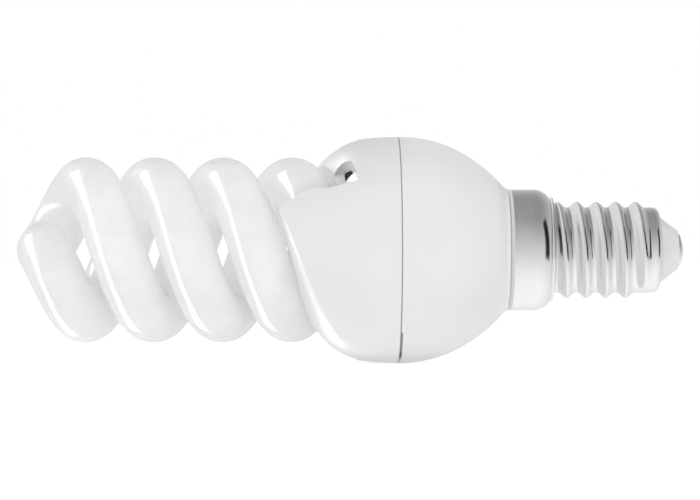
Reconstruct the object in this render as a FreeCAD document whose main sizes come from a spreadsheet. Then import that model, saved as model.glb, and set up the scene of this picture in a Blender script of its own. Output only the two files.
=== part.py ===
import FreeCAD, Part

import math
import os

import Sketcher

# Spiral energy saving bulb with a small Edison screw cap, in millimetres.
# The lamp lies along X. The cap points to +X, the glass to -X, and the origin is on the lamp's axis
# where the skirt of the cap meets the housing. Angles round the axis start at the top (+Z) and grow
# towards the front (-Y), which is the way the spiral climbs towards the cap.

doc = FreeCAD.newDocument("spiral_bulb")
vector = FreeCAD.Vector
ORIGIN = vector(0, 0, 0)

SIZES = [
    ("tube_diameter", 7.8, "outside of the glass tube"),
    ("coil_radius", 9.4, "lamp axis to the middle of the tube"),
    ("strand_pitch", 19.75, "advance of one strand in one turn"),
    ("bump_reach", 15.3, "parting line to the middle of each strand half a turn before the cover"),
    ("outer_half_turns", 3, "half turns of each strand between the crown and that place"),
    ("crown_rise", 5.9, "advance of the quarter turn that closes the two strands at the nose"),
    ("crown_ease", 26, "degrees of turn over which the nose rounds off"),
    ("inner_turn", 100, "degrees that each strand turns after its last bump"),
    ("pinch_length", 3.4, "tapered sealed end of each strand"),
    ("pinch_radius", 2.1, "radius of the sealed end"),
    ("ramp_gap", 0.35, "play between glass and ramp"),
    ("way_gap", 0.3, "play between glass and the hole it passes through"),
    ("step_angle", 53, "degrees from the top to the step that the strand enters"),
    ("step_lean", 10, "degrees that the step leans back from the lamp's axis"),
    ("cover_margin", 2.95, "spiral's outside to the cover's outside"),
    ("barrel_arc", 46.8, "radius of the cover's barrel line"),
    ("cover_wall", 1.2, "wall of the cover"),
    ("lip_drop", 0.25, "height of the rounded lip beside the ramp, less half the tube"),
    ("lip_turn", 115, "degrees over which the lip's rim draws away from the ramp"),
    ("lip_margin", 5.9, "parting line to the rim where it is farthest from the nose"),
    ("lip_bulge", 0.11, "height of the lip's curve as a part of its chord"),
    ("lip_crease", 0.15, "drop from the barrel to the lip's rim"),
    ("lip_corner", 1.8, "rounding of the step's corner at the ramp"),
    ("lip_corner_turn", 9, "degrees that this rounding takes"),
    ("peep_radius", 1.45, "round end of the opening between lip and step"),
    ("peep_length", 3.0, "straight part of that opening"),
    ("peep_reach", 7.7, "parting line to the middle of that opening"),
    ("hub_play", 0.5, "spiral's inside to the hub of the cover"),
    ("hub_reach", 12.9, "parting line to the face of the hub"),
    ("parting_depth", 15.7, "origin to the line where cover and base housing meet"),
    ("base_wall", 1.3, "wall of the base housing"),
    ("spigot_length", 1.3, "part of the base housing that slides into the cover"),
    ("spigot_wall", 1.1, "wall of that part"),
    ("slide_play", 0.1, "play between pieces that slide together"),
    ("parting_edge", 0.12, "bevel on both sides of the parting line"),
    ("shoulder_drop", 1.2, "fall of the base housing's first curve"),
    ("shoulder_length", 6.9, "length of that curve"),
    ("shoulder_arc", 17.9, "radius of that curve"),
    ("waist_arc", 22, "radius of the curve from there to the cap"),
    ("waist_arc_inside", 20.7, "radius of the same curve on the inside"),
    ("notch_angle", 28, "degrees that the opening notch spans"),
    ("notch_start", 136, "degrees from the top to the opening notch"),
    ("notch_width", 0.3, "width of the opening notch"),
    ("notch_depth", 0.8, "depth of the opening notch"),
    ("skirt_radius", 8.7, "outside of the cap's skirt"),
    ("skirt_length", 3.9, "straight part of the skirt"),
    ("skirt_round", 3, "radius of the skirt's shoulder"),
    ("sheet", 0.3, "thickness of the cap's metal"),
    ("thread_crest", 6.94, "crest radius of the thread"),
    ("thread_root", 6.14, "root radius of the thread"),
    ("thread_pitch", 2.822, "nine turns to the inch"),
    ("thread_start", 7.2, "origin to the first crest, at the top"),
    ("thread_turns", 4.5, "turns of the thread"),
    ("thread_width", 2.0, "width of the ridge at its root"),
    ("thread_flank", 1.6, "radius of the ridge's sides"),
    ("root_end", 20.8, "origin to the end of the threaded sheet"),
    ("shell_end", 21.9, "origin to the end of the cap's metal"),
    ("mouth_radius", 4.9, "opening at the end of the cap's metal"),
    ("insulator_bore", 0.8, "hole for the lead through the insulator"),
    ("tip_start", 24.4, "origin to the seat of the centre contact"),
    ("contact_radius", 2.3, "radius of the centre contact"),
    ("contact_thickness", 0.6, "thickness of the centre contact"),
    ("contact_hole", 0.6, "hole for the lead in the centre contact"),
    ("solder_height", 0.45, "height of the solder on the centre contact"),
    ("board_thickness", 1.6, "circuit board"),
    ("board_play", 0.9, "play round the circuit board"),
    ("ledge_radius", 13.5, "inner edge of the ledges that carry the board"),
    ("ledge_length", 3.0, "length of those ledges"),
    ("ledge_width", 1.6, "width of those ledges"),
    ("lead_radius", 0.3, "leads of the electronic pieces"),
    ("lead_play", 0.1, "play of a lead in its hole"),
    ("pad_radius", 0.75, "radius of a solder joint"),
    ("pad_height", 0.7, "height of a solder joint"),
    ("can_radius", 4.0, "smoothing capacitor"),
    ("can_length", 13.0, "smoothing capacitor"),
    ("can_lift", 12.0, "length of its leads in front of the board"),
    ("choke_offset", 6.3, "lamp axis to the axis of the choke"),
    ("choke_width", 10.2, "choke core across"),
    ("choke_depth", 4.8, "thickness of the choke core"),
    ("choke_height", 10.4, "choke core along the lamp"),
    ("choke_web", 1.5, "outer legs and backs of the choke core"),
    ("choke_leg", 2.4, "side of the square middle leg"),
    ("flange", 0.7, "flanges and tube wall of the choke bobbin"),
    ("ring_radius", 4.0, "drive transformer ring"),
    ("ring_bore", 2.0, "bore of that ring"),
    ("ring_height", 3.2, "height of that ring"),
    ("turn_radius", 0.28, "wire wound on that ring"),
    ("diode_radius", 1.35, "rectifier diode"),
    ("diode_length", 5.2, "rectifier diode"),
    ("resistor_radius", 1.0, "small resistor"),
    ("resistor_length", 4.2, "small resistor"),
    ("diac_radius", 0.9, "glass trigger diode"),
    ("diac_length", 3.8, "glass trigger diode"),
    ("stand_off", 0.5, "air under an upright piece"),
    ("film_width", 7.6, "film capacitor"),
    ("film_depth", 3.8, "film capacitor"),
    ("film_height", 7.0, "film capacitor"),
    ("film_edge", 0.9, "rounding of the film capacitor's coat"),
    ("film_leads", 5.0, "lead spacing of the film capacitor"),
    ("transistor_width", 4.6, "transistor case"),
    ("transistor_depth", 3.6, "transistor case"),
    ("transistor_height", 4.7, "transistor case"),
    ("transistor_lift", 3.0, "transistor leads in front of the board"),
    ("transistor_leads", 1.27, "lead spacing of the transistor"),
    ("drum_radius", 3.0, "filter inductor"),
    ("drum_height", 7.6, "filter inductor"),
    ("drum_flange", 1.0, "flanges of the filter inductor"),
    ("drum_core", 1.5, "core of the filter inductor"),
    ("pin_side", 0.6, "square wrap pin"),
    ("pin_length", 5.8, "wrap pin, from the board's front face"),
    ("tube_lead_radius", 0.2, "lead of the glass tube"),
    ("wire_radius", 0.6, "insulated wire"),
    ("fuse_radius", 1.6, "fuse resistor"),
    ("fuse_length", 5.8, "fuse resistor"),
    ("fuse_start", 12.4, "origin to the near end of the fuse resistor"),
    ("cement_depth", 1.6, "length of the cement round a strand"),
]

sheet = doc.addObject("Spreadsheet::Sheet", "sizes")
for row, (alias, number, note) in enumerate(SIZES, start=1):
    sheet.set(f"A{row}", alias)
    sheet.set(f"B{row}", str(number))
    sheet.set(f"C{row}", note)
    sheet.setAlias(f"B{row}", alias)
doc.recompute()


def value(text):
    """Number that an expression on the sheet gives."""
    return float(sheet.evalExpression(text))


# Sizes worked out from the sheet, as expressions that features can be bound to.
TUBE = "(sizes.tube_diameter / 2)"
SLOPE = "atan(sizes.strand_pitch / (2 * pi * sizes.coil_radius))"
COVER = f"(sizes.coil_radius + {TUBE} + sizes.cover_margin)"
COVER_BORE = f"({COVER} - sizes.cover_wall)"
RAMP_OFFSET = f"(({TUBE} + sizes.ramp_gap) / cos({SLOPE}))"
LAST_BUMP = "(sizes.parting_depth + sizes.bump_reach)"
HUB_LEVEL = "(sizes.parting_depth + sizes.hub_reach)"
RAMP_START = f"(-{LAST_BUMP} - sizes.strand_pitch * (180 - sizes.step_angle) / 360 + {RAMP_OFFSET})"
HUB = f"(sizes.coil_radius - {TUBE} - sizes.hub_play)"
LIP_HEIGHT = f"({TUBE} + sizes.lip_drop)"
BOARD_FACE = "(-sizes.parting_depth - sizes.spigot_length)"
BOARD_BACK = f"({BOARD_FACE} - sizes.board_thickness)"
BOARD_RADIUS = f"({COVER_BORE} - sizes.board_play)"
SPIGOT = f"({COVER_BORE} - sizes.slide_play)"
SPIGOT_BORE = f"({SPIGOT} - sizes.spigot_wall)"
SKIRT_BORE = "(sizes.skirt_radius - sizes.sheet)"
NECK = f"({SKIRT_BORE} - sizes.slide_play)"
SHELL_BORE = "(sizes.thread_root - sizes.sheet)"


# Helpers

def bind(item, **texts):
    """Binds properties of a feature to expressions on the sheet."""
    for name, text in texts.items():
        item.setExpression(name, text)
    return item


def place(item, x, y, z, turn=None):
    """Puts a primitive at a place given as expressions, turned by a rotation."""
    item.Placement = FreeCAD.Placement(ORIGIN, turn or FreeCAD.Rotation())
    item.setExpression("Placement.Base.x", str(x))
    item.setExpression("Placement.Base.y", str(y))
    item.setExpression("Placement.Base.z", str(z))
    return item


ALONG = FreeCAD.Rotation(vector(0, 1, 0), 90)


def rod(name, radius, length, x, y, z):
    """Round bar along X that starts at x."""
    item = doc.addObject("Part::Cylinder", name)
    bind(item, Radius=str(radius), Height=str(length))
    return place(item, x, y, z, ALONG)


def block(name, size, x, y, z):
    """Rectangular block with its lowest corner at x, y, z."""
    item = doc.addObject("Part::Box", name)
    bind(item, Length=str(size[0]), Width=str(size[1]), Height=str(size[2]))
    return place(item, x, y, z)


def fuse(name, items):
    item = doc.addObject("Part::MultiFuse", name)
    item.Shapes = items
    return item


def cut(name, base, tools):
    """Base less one tool or a list of tools."""
    item = doc.addObject("Part::Cut", name)
    item.Base = base
    item.Tool = tools[0] if len(tools) == 1 else fuse(name + "_tools", tools)
    return item


def group(name, items):
    """Separate solids kept together as one sub-part."""
    item = doc.addObject("Part::Compound", name)
    item.Links = items
    return item


def own_plane(body, role):
    """One of a body's own origin planes or axes."""
    for feature in body.Origin.OriginFeatures:
        if feature.Role == role:
            return feature
    raise ValueError(role)


def outline(body, name, corners, arcs=None, offset=None, role="XZ_Plane"):
    """Closed sketch through corners given as pairs of expressions.

    arcs gives the radius of a side that is an arc, by the side's number. A plus sign in front of the
    side's entry puts the centre on the left of the way from corner to corner, a minus on the right.
    """
    sketch = body.newObject("Sketcher::SketchObject", name)
    sketch.AttachmentSupport = [(own_plane(body, role), "")]
    sketch.MapMode = "FlatFace"
    if offset is not None:
        sketch.AttachmentOffset = offset
    arcs = arcs or {}
    points = [vector(value(x), value(r), 0) for x, r in corners]
    ends = []
    for side, start in enumerate(points):
        stop = points[(side + 1) % len(points)]
        if side not in arcs:
            sketch.addGeometry(Part.LineSegment(start, stop), False)
            ends.append((1, 2))
            continue
        hand, text = arcs[side]
        radius = value(text)
        middle = (start + stop) * 0.5
        chord = stop - start
        left = vector(-chord.y, chord.x, 0).normalize()
        centre = middle + left * hand * math.sqrt(radius ** 2 - (chord.Length / 2) ** 2)
        first, last = (start, stop) if hand > 0 else (stop, start)
        angles = [math.atan2(p.y - centre.y, p.x - centre.x) for p in (first, last)]
        circle = Part.Circle(centre, vector(0, 0, 1), radius)
        sketch.addGeometry(Part.ArcOfCircle(circle, angles[0], angles[1]), False)
        ends.append((1, 2) if hand > 0 else (2, 1))
    for side in range(len(points)):
        after = (side + 1) % len(points)
        sketch.addConstraint(Sketcher.Constraint("Coincident", side, ends[side][1], after, ends[after][0]))
    for side, (x, r) in enumerate(corners):
        for kind, text in (("DistanceX", x), ("DistanceY", r)):
            rule = Sketcher.Constraint(kind, -1, 1, side, ends[side][0], value(text))
            number = sketch.addConstraint(rule)
            sketch.setExpression(f"Constraints[{number}]", text)
    for side, (hand, text) in arcs.items():
        number = sketch.addConstraint(Sketcher.Constraint("Radius", side, value(text)))
        sketch.setExpression(f"Constraints[{number}]", text)
    return sketch


def turned(body, name, corners, arcs=None, operation="Revolution"):
    """Adds or takes away an outline turned round the lamp's axis."""
    profile = outline(body, name + "_outline", corners, arcs)
    item = body.newObject("PartDesign::" + operation, name)
    item.Profile = profile
    item.ReferenceAxis = (profile, ["H_Axis"])
    item.Angle = 360
    return item


def wound(body, name, profile, pitch, advance, operation="AdditiveHelix"):
    """Adds or takes away a profile wound round the lamp's axis, right-handed."""
    item = body.newObject("PartDesign::" + operation, name)
    item.Profile = profile
    item.ReferenceAxis = (own_plane(body, "X_Axis"), [""])
    item.Mode = 0
    bind(item, Pitch=pitch, Height=advance)
    return item


def doubled(body, name, feature):
    """Repeats a feature on the far side of the lamp's axis."""
    item = body.newObject("PartDesign::PolarPattern", name)
    item.Originals = [feature]
    item.Axis = (own_plane(body, "X_Axis"), [""])
    item.Angle = 360
    item.Occurrences = 2
    body.Tip = item
    return item


def routed(points, radius):
    """Round wire along straight runs that are joined by tangent arcs."""
    points = [vector(*map(float, point)) for point in points]
    edges = []
    start = points[0]
    for before, corner, after in zip(points, points[1:], points[2:]):
        way_in = (corner - before).normalize()
        way_out = (after - corner).normalize()
        bend = way_in.getAngle(way_out)
        trim = 0.45 * min((corner - before).Length, (after - corner).Length)
        arc_start = corner - way_in * trim
        arc_stop = corner + way_out * trim
        inward = (way_out - way_in).normalize()
        arc_radius = trim / math.tan(bend / 2)
        apex = corner + inward * (arc_radius / math.cos(bend / 2) - arc_radius)
        edges.append(Part.makeLine(start, arc_start))
        edges.append(Part.Arc(arc_start, apex, arc_stop).toShape())
        start = arc_stop
    edges.append(Part.makeLine(start, points[-1]))
    path = Part.Wire(edges)
    section = Part.Wire(Part.makeCircle(radius, points[0], points[1] - points[0]))
    return path.makePipeShell([section], True, True)


def shaped(name, shape):
    item = doc.addObject("Part::Feature", name)
    item.Shape = shape
    return item


def screw_offset(angle, advance_text, tilt):
    """Sketch placement at an angle round the axis, tilted to stand square across the strand."""
    turn = FreeCAD.Rotation(vector(1, 0, 0), angle)
    lean = FreeCAD.Rotation(vector(0, 1, 0), tilt)
    return FreeCAD.Placement(vector(value(advance_text), 0, 0), turn.multiply(lean))


# Glass tube

STRAND_STEP = 15


def strand_point(turn):
    """Middle of the tube; turn counts radians from the nose, plus on one strand, minus on the other."""
    quarter = math.pi / 2
    ease = math.radians(value("sizes.crown_ease"))
    rise = value("sizes.crown_rise")
    slope = value("sizes.strand_pitch") / (2 * math.pi)
    nose = value(f"-{LAST_BUMP} - sizes.outer_half_turns * sizes.strand_pitch / 2") - rise
    # The nose advances by a * (hypot(turn, ease) - ease) + b * turn^4. The two numbers a and b give it
    # the rise and the slope of the coil where it ends.
    reach = math.hypot(quarter, ease) - ease
    lean = quarter / math.hypot(quarter, ease)
    b = (slope - lean * rise / reach) / (4 * quarter ** 3 - lean * quarter ** 4 / reach)
    a = (rise - b * quarter ** 4) / reach
    size = abs(turn)
    if size < quarter:
        x = nose + a * (math.hypot(size, ease) - ease) + b * size ** 4
        radius = value("sizes.coil_radius") * math.sin(size)
    else:
        x = nose + rise + slope * (size - quarter)
        radius = value("sizes.coil_radius")
    angle = quarter + size
    side = 1 if turn >= 0 else -1
    return vector(x, -side * radius * math.sin(angle), side * radius * math.cos(angle))


def make_spiral_tube():
    """Sealed glass tube: a double spiral closed at the nose, with a tapered seal at each end."""
    last_turn = math.radians(90 + 180 * value("sizes.outer_half_turns") + value("sizes.inner_turn"))
    steps = 2 * round(math.degrees(last_turn) / STRAND_STEP)
    points = [strand_point(last_turn * (2 * step / steps - 1)) for step in range(steps + 1)]
    line = Part.BSplineCurve()
    line.interpolate(points)
    path = Part.Wire(line.toShape())
    first, last = line.FirstParameter, line.LastParameter
    start_way = line.tangent(first)[0]
    section = Part.Wire(Part.makeCircle(value(TUBE), points[0], start_way))
    tube = path.makePipeShell([section], True, False)
    ends = []
    for point, way in ((points[0], start_way * -1), (points[-1], line.tangent(last)[0])):
        length = value("sizes.pinch_length")
        ends.append(Part.makeCone(value(TUBE), value("sizes.pinch_radius"), length, point, way))
    return shaped("spiral_tube", tube.fuse(ends)), points, (start_way * -1, line.tangent(last)[0])


# Cover that holds the glass

def cover_solid(name, inset, lag):
    """Barrel with its two ramps; inset shrinks every face by a wall and lag moves the steps back."""
    body = doc.addObject("PartDesign::Body", name)
    front = f"({RAMP_START} - 1.5 + {inset})"
    run = f"(sizes.barrel_arc - {inset})"
    front_radius = f"({COVER} - sizes.barrel_arc + sqrt({run} ^ 2 - ({front} + sizes.parting_depth) ^ 2))"
    rear = "-sizes.parting_depth"
    turned(body, name + "_barrel",
           [(front, "0"), (front, front_radius), (rear, f"{COVER} - {inset}"), (rear, "0")],
           {1: (-1, run)})
    floor = f"({HUB} - {inset})"
    turned(body, name + "_hub_face",
           [(f"{front} - 1", "0"), (f"{front} - 1", floor),
            (f"-{HUB_LEVEL} + {inset}", floor), (f"-{HUB_LEVEL} + {inset}", "0")],
           operation="Groove")
    tall = f"({RAMP_START} - {front} + sizes.strand_pitch / 2 + 4)"
    corners = [
        (f"-{tall}", f"{floor} * 0.6"),
        ("0", floor),
        ("0", f"{COVER} + 3"),
        (f"-{tall}", f"{COVER} + 3"),
    ]
    angle = value(f"sizes.step_angle + {lag}")
    level = f"{RAMP_START} + sizes.strand_pitch * {lag} / 360 + {inset}"
    profile = outline(body, name + "_ramp_outline", corners,
                      offset=screw_offset(angle, level, value("sizes.step_lean")))
    ramp = wound(body, name + "_ramp", profile, "sizes.strand_pitch", "sizes.strand_pitch / 2",
                 "SubtractiveHelix")
    doubled(body, name + "_ramps", ramp)
    lips = [make_lip(f"{name}_lip_{side}", value(inset), value(lag), turn)
            for side, turn in (("front", 0), ("back", 180))]
    return cut(name + "_lipped", body, lips)


# Degrees along the ramp at which the lip is drawn: close together where its corner rounds off.
LIP_SECTIONS = (0, 3, 6, 10, 18, 32, 48, 64, 80, 96, 108, 120, 135, 150, 165, 180)
# How quickly the lip's rim runs away from the ramp: 1 is even, more is slow at first.
RIM_POWER = 1.5
# A wall's inner face is further along the lamp than its outer one by this share of the wall.
INNER_SHARE = 0.6
# How far a cutting solid reaches past what it cuts, in millimetres.
CLEAR = 2


def make_lip(name, inset, lag, turn):
    """What the rounded lip beside a ramp takes from the barrel, lofted through sections along the ramp."""
    lean = math.radians(value("sizes.step_lean"))
    advance = value("sizes.strand_pitch / 360")
    lip_turn = value("sizes.lip_turn")
    farthest = value("-sizes.parting_depth - sizes.lip_margin")
    reach = farthest - value(RAMP_START) - advance * lip_turn
    run = value("sizes.barrel_arc") - inset
    foot = value(f"{COVER} - {LIP_HEIGHT}") - inset
    clear = value(COVER) + CLEAR
    wires = []
    for step in LIP_SECTIONS:
        passed = step + lag
        level = value(RAMP_START) + advance * passed
        rim = farthest if passed > lip_turn else level + reach * (passed / lip_turn) ** RIM_POWER
        rounding = max(0, 1 - step / value("sizes.lip_corner_turn")) ** 2
        rim += value("sizes.lip_corner") * rounding + INNER_SHARE * inset
        level += inset
        behind = rim + value("sizes.parting_depth")
        barrel = value(f"{COVER} - sizes.barrel_arc") + math.sqrt(run ** 2 - behind ** 2)
        rim_radius = barrel - value("sizes.lip_crease")
        chord = vector(rim - level, 0, rim_radius - foot)
        bulge = vector(-chord.z, 0, chord.x) * value("sizes.lip_bulge")
        middle = vector((rim + level) / 2, 0, (rim_radius + foot) / 2) + bulge
        marks = [(rim, clear), (rim, rim_radius), (middle.x, middle.z),
                 (level, foot), (level - 1, foot), (level - 1, clear)]
        round_axis = FreeCAD.Rotation(vector(1, 0, 0), value("sizes.step_angle") + passed + turn)
        points = []
        for x, radius in marks:
            aside = (x - level) * math.tan(lean)
            points.append(round_axis.multVec(vector(x, aside, math.sqrt(radius ** 2 - aside ** 2))))
        arc = Part.Arc(points[1], points[2], points[3]).toShape()
        straight = Part.makePolygon(points[3:] + points[:2]).Edges
        wires.append(Part.Wire([arc] + straight))
    return shaped(name, Part.makeLoft(wires, True, False))


def make_peep_hole(name, turn):
    """Opening in the lip with one round end, its straight end along the step."""
    x = value("-sizes.parting_depth - sizes.peep_reach")
    back = (x - value(RAMP_START)) * math.tan(math.radians(value("sizes.step_lean")))
    angle = value("sizes.step_angle") - math.degrees(back / value(COVER)) + turn
    upright = FreeCAD.Rotation(vector(1, 0, 0), angle)
    along_step = upright.multiply(FreeCAD.Rotation(vector(0, 0, 1), value("sizes.step_lean")))
    foot = upright.multVec(vector(0, 0, value(f"{COVER} - {LIP_HEIGHT} - 1"))) + vector(x, 0, 0)
    bow = doc.addObject("Part::Cylinder", name + "_bow")
    bind(bow, Radius="sizes.peep_radius", Height=f"{LIP_HEIGHT} + 3")
    bow.Angle = 180
    away = along_step.multVec(vector(0, value("sizes.peep_length"), 0))
    bow.Placement = FreeCAD.Placement(foot + away, along_step)
    slot = doc.addObject("Part::Box", name + "_slot")
    bind(slot, Length="2 * sizes.peep_radius", Width="sizes.peep_length", Height=f"{LIP_HEIGHT} + 3")
    beside = along_step.multVec(vector(value("-sizes.peep_radius"), 0, 0))
    slot.Placement = FreeCAD.Placement(foot + beside, along_step)
    return fuse(name, [bow, slot])


def make_tube_way(name, radius, first, last):
    """Room that a strand passes through, between two angles after its last bump."""
    body = doc.addObject("PartDesign::Body", name)
    sketch = body.newObject("Sketcher::SketchObject", name + "_round")
    sketch.AttachmentSupport = [(own_plane(body, "XZ_Plane"), "")]
    sketch.MapMode = "FlatFace"
    level = f"-{LAST_BUMP} + sizes.strand_pitch * {first} / 360"
    sketch.AttachmentOffset = screw_offset(value(first), level, value(SLOPE))
    centre = vector(0, value("sizes.coil_radius"), 0)
    sketch.addGeometry(Part.Circle(centre, vector(0, 0, 1), value(radius)), False)
    sketch.addConstraint(Sketcher.Constraint("PointOnObject", 0, 3, -2))
    number = sketch.addConstraint(Sketcher.Constraint("DistanceY", -1, 1, 0, 3, centre.y))
    sketch.setExpression(f"Constraints[{number}]", "sizes.coil_radius")
    number = sketch.addConstraint(Sketcher.Constraint("Radius", 0, value(radius)))
    sketch.setExpression(f"Constraints[{number}]", radius)
    way = wound(body, name + "_sweep", sketch, "sizes.strand_pitch",
                f"sizes.strand_pitch * ({last} - {first}) / 360")
    return body, way


def make_cover():
    """Hollow cover: outside less cavity, holes for the strands, openings beside the steps, and ledges."""
    step_lag = "(180 / pi * sizes.cover_wall / sizes.coil_radius)"
    outer = cover_solid("cover_outside", "0", "0")
    cavity = cover_solid("cover_cavity", "sizes.cover_wall", step_lag)
    way, sweep = make_tube_way("tube_way", f"({TUBE} + sizes.way_gap)",
                               "(sizes.step_angle - 25)", "(sizes.inner_turn + 30)")
    doubled(way, "tube_ways", sweep)
    holes = [make_peep_hole("peep_hole_front", 0), make_peep_hole("peep_hole_back", 180)]
    bevel = doc.addObject("PartDesign::Body", "parting_bevel")
    rear = "-sizes.parting_depth"
    turned(bevel, "parting_bevel_ring",
           [(f"{rear} - sizes.parting_edge", f"{COVER} + 0.01"), (f"{rear} + 0.1", f"{COVER} + 0.01"),
            (f"{rear} + 0.1", f"{COVER} - sizes.parting_edge"), (rear, f"{COVER} - sizes.parting_edge")])
    shell = cut("cover_shell", outer, [cavity, way, bevel] + holes)
    ledges = []
    for number, angle in enumerate((30, 150, 210, 330), start=1):
        reach = f"({COVER_BORE} - sizes.ledge_radius)"
        ledge = doc.addObject("Part::Box", f"board_ledge_{number}")
        bind(ledge, Length="sizes.ledge_length", Width="sizes.ledge_width", Height=reach)
        turn = FreeCAD.Rotation(vector(1, 0, 0), angle)
        corner = turn.multVec(vector(0, value("-sizes.ledge_width / 2"), value("sizes.ledge_radius")))
        corner.x = value(f"{BOARD_BACK} - sizes.ledge_length")
        ledge.Placement = FreeCAD.Placement(corner, turn)
        ledges.append(ledge)
    return fuse("tube_cover", [shell] + ledges)


# Base housing

def make_base_housing():
    """Turned shell from the parting line to the neck that the cap is fixed on, with its spigot and notch."""
    body = doc.addObject("PartDesign::Body", "base_housing")
    parting = "-sizes.parting_depth"
    belly = f"({COVER} - sizes.shoulder_drop)"
    corners = [
        (parting, f"{COVER} - sizes.parting_edge"),
        (f"{parting} + sizes.parting_edge", COVER),
        (f"{parting} + sizes.shoulder_length", belly),
        ("-0.5", "sizes.skirt_radius + 0.35"),
        ("0", "sizes.skirt_radius + 0.1"),
        ("0", NECK),
        ("sizes.skirt_length - 0.1", NECK),
        ("sizes.skirt_length - 0.1", f"{NECK} - sizes.base_wall"),
        ("0.4", f"{NECK} - sizes.base_wall"),
        ("-1.2", f"{NECK} - sizes.base_wall + 1.1"),
        (f"{parting} + sizes.shoulder_length - 0.3", f"{belly} - sizes.base_wall"),
        (BOARD_FACE, SPIGOT_BORE),
        (BOARD_FACE, SPIGOT),
        (parting, SPIGOT),
    ]
    arcs = {1: (-1, "sizes.shoulder_arc"), 2: (-1, "sizes.waist_arc"), 9: (1, "sizes.waist_arc_inside")}
    turned(body, "base_shell", corners, arcs)
    notch = [
        (parting, f"{COVER} - sizes.notch_depth"),
        (parting, f"{COVER} + 1"),
        (f"{parting} + sizes.notch_width", f"{COVER} + 1"),
        (f"{parting} + sizes.notch_width", f"{COVER} - sizes.notch_depth"),
    ]
    middle = FreeCAD.Rotation(vector(1, 0, 0), value("sizes.notch_start + sizes.notch_angle / 2"))
    turn = FreeCAD.Placement(ORIGIN, middle)
    profile = outline(body, "notch_outline", notch, offset=turn)
    groove = body.newObject("PartDesign::Groove", "opening_notch")
    groove.Profile = profile
    groove.ReferenceAxis = (own_plane(body, "X_Axis"), [""])
    groove.Midplane = True
    bind(groove, Angle="sizes.notch_angle")
    body.Tip = groove
    return body


# Screw cap

def make_cap_shell():
    """Pressed metal sleeve: skirt, rounded shoulder, bead, rolled thread and the rim round the insulator."""
    body = doc.addObject("PartDesign::Body", "cap_shell")
    outside = [
        ("0", "sizes.skirt_radius"),
        ("sizes.skirt_length", "sizes.skirt_radius"),
        ("sizes.skirt_length + 2.3", "sizes.thread_root + 1.15"),
        ("sizes.skirt_length + 2.65", "sizes.thread_root + 0.6"),
        ("sizes.skirt_length + 2.85", "sizes.thread_root"),
        ("sizes.root_end", "sizes.thread_root"),
        ("sizes.shell_end", "sizes.mouth_radius + 0.35"),
        ("sizes.shell_end", "sizes.mouth_radius"),
        ("sizes.shell_end - 0.35", "sizes.mouth_radius"),
        ("sizes.root_end - 0.1", SHELL_BORE),
        ("sizes.skirt_length + 2.5", SHELL_BORE),
        ("sizes.skirt_length + 2.4", "sizes.thread_root + 0.5"),
        ("sizes.skirt_length + 2.05", "sizes.thread_root + 0.95"),
        ("sizes.skirt_length", SKIRT_BORE),
        ("0", SKIRT_BORE),
    ]
    arcs = {1: (-1, "sizes.skirt_round"), 2: (-1, "0.5"), 5: (-1, "1.5"),
            12: (1, "sizes.skirt_round - sizes.sheet")}
    turned(body, "cap_sheet", outside, arcs)
    half = "sizes.thread_width / 2"
    foot = "(sizes.thread_root - sizes.sheet / 2)"
    ridge = [
        (f"-{half}", foot),
        (half, foot),
        (half, "sizes.thread_root"),
        ("0.12", "sizes.thread_crest"),
        ("-0.12", "sizes.thread_crest"),
        (f"-{half}", "sizes.thread_root"),
    ]
    start = FreeCAD.Placement(vector(value("sizes.thread_start"), 0, 0), FreeCAD.Rotation())
    flank = (1, "sizes.thread_flank")
    profile = outline(body, "thread_outline", ridge, {2: flank, 4: flank}, start)
    thread = wound(body, "cap_thread", profile, "sizes.thread_pitch",
                   "sizes.thread_pitch * sizes.thread_turns")
    body.Tip = thread
    return body


def make_cap_insulator():
    body = doc.addObject("PartDesign::Body", "cap_insulator")
    bore = "sizes.insulator_bore"
    corners = [
        ("sizes.root_end - 2.2", bore),
        ("sizes.root_end - 2.2", f"{SHELL_BORE} - 0.05"),
        ("sizes.root_end - 0.15", f"{SHELL_BORE} - 0.05"),
        ("sizes.shell_end - 0.4", "sizes.mouth_radius - 0.05"),
        ("sizes.shell_end", "sizes.mouth_radius - 0.05"),
        ("sizes.shell_end + 1.3", "sizes.mouth_radius - 1.05"),
        ("sizes.tip_start + 0.2", "sizes.contact_radius + 0.5"),
        ("sizes.tip_start + 0.2", "sizes.contact_radius + 0.05"),
        ("sizes.tip_start", "sizes.contact_radius + 0.05"),
        ("sizes.tip_start", bore),
    ]
    turned(body, "insulator_body", corners)
    return body


def make_centre_contact():
    body = doc.addObject("PartDesign::Body", "centre_contact")
    top = "(sizes.tip_start + sizes.contact_thickness)"
    corners = [
        ("sizes.tip_start", "sizes.contact_hole"),
        ("sizes.tip_start", "sizes.contact_radius"),
        (f"{top} - 0.25", "sizes.contact_radius"),
        (top, "sizes.contact_radius - 0.25"),
        (top, "sizes.contact_hole"),
    ]
    turned(body, "contact_plate", corners, {2: (-1, "0.25")})
    return body


def make_contact_solder():
    body = doc.addObject("PartDesign::Body", "contact_solder")
    top = "(sizes.tip_start + sizes.contact_thickness)"
    spread = "(sizes.contact_radius - 0.55)"
    corners = [
        (top, "0"),
        (top, spread),
        (f"{top} + sizes.solder_height", "0"),
    ]
    run = f"((sizes.solder_height ^ 2 + {spread} ^ 2) / (2 * sizes.solder_height))"
    turned(body, "solder_dome", corners, {1: (-1, run)})
    return body


# Circuit board and what stands on it

lead_places = []


def lead(name, length, y, z):
    """Lead that passes through the board, from its back face to its length in front."""
    lead_places.append((y, z))
    return rod(name, "sizes.lead_radius", f"sizes.board_thickness + {length}", BOARD_BACK, y, z)


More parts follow.
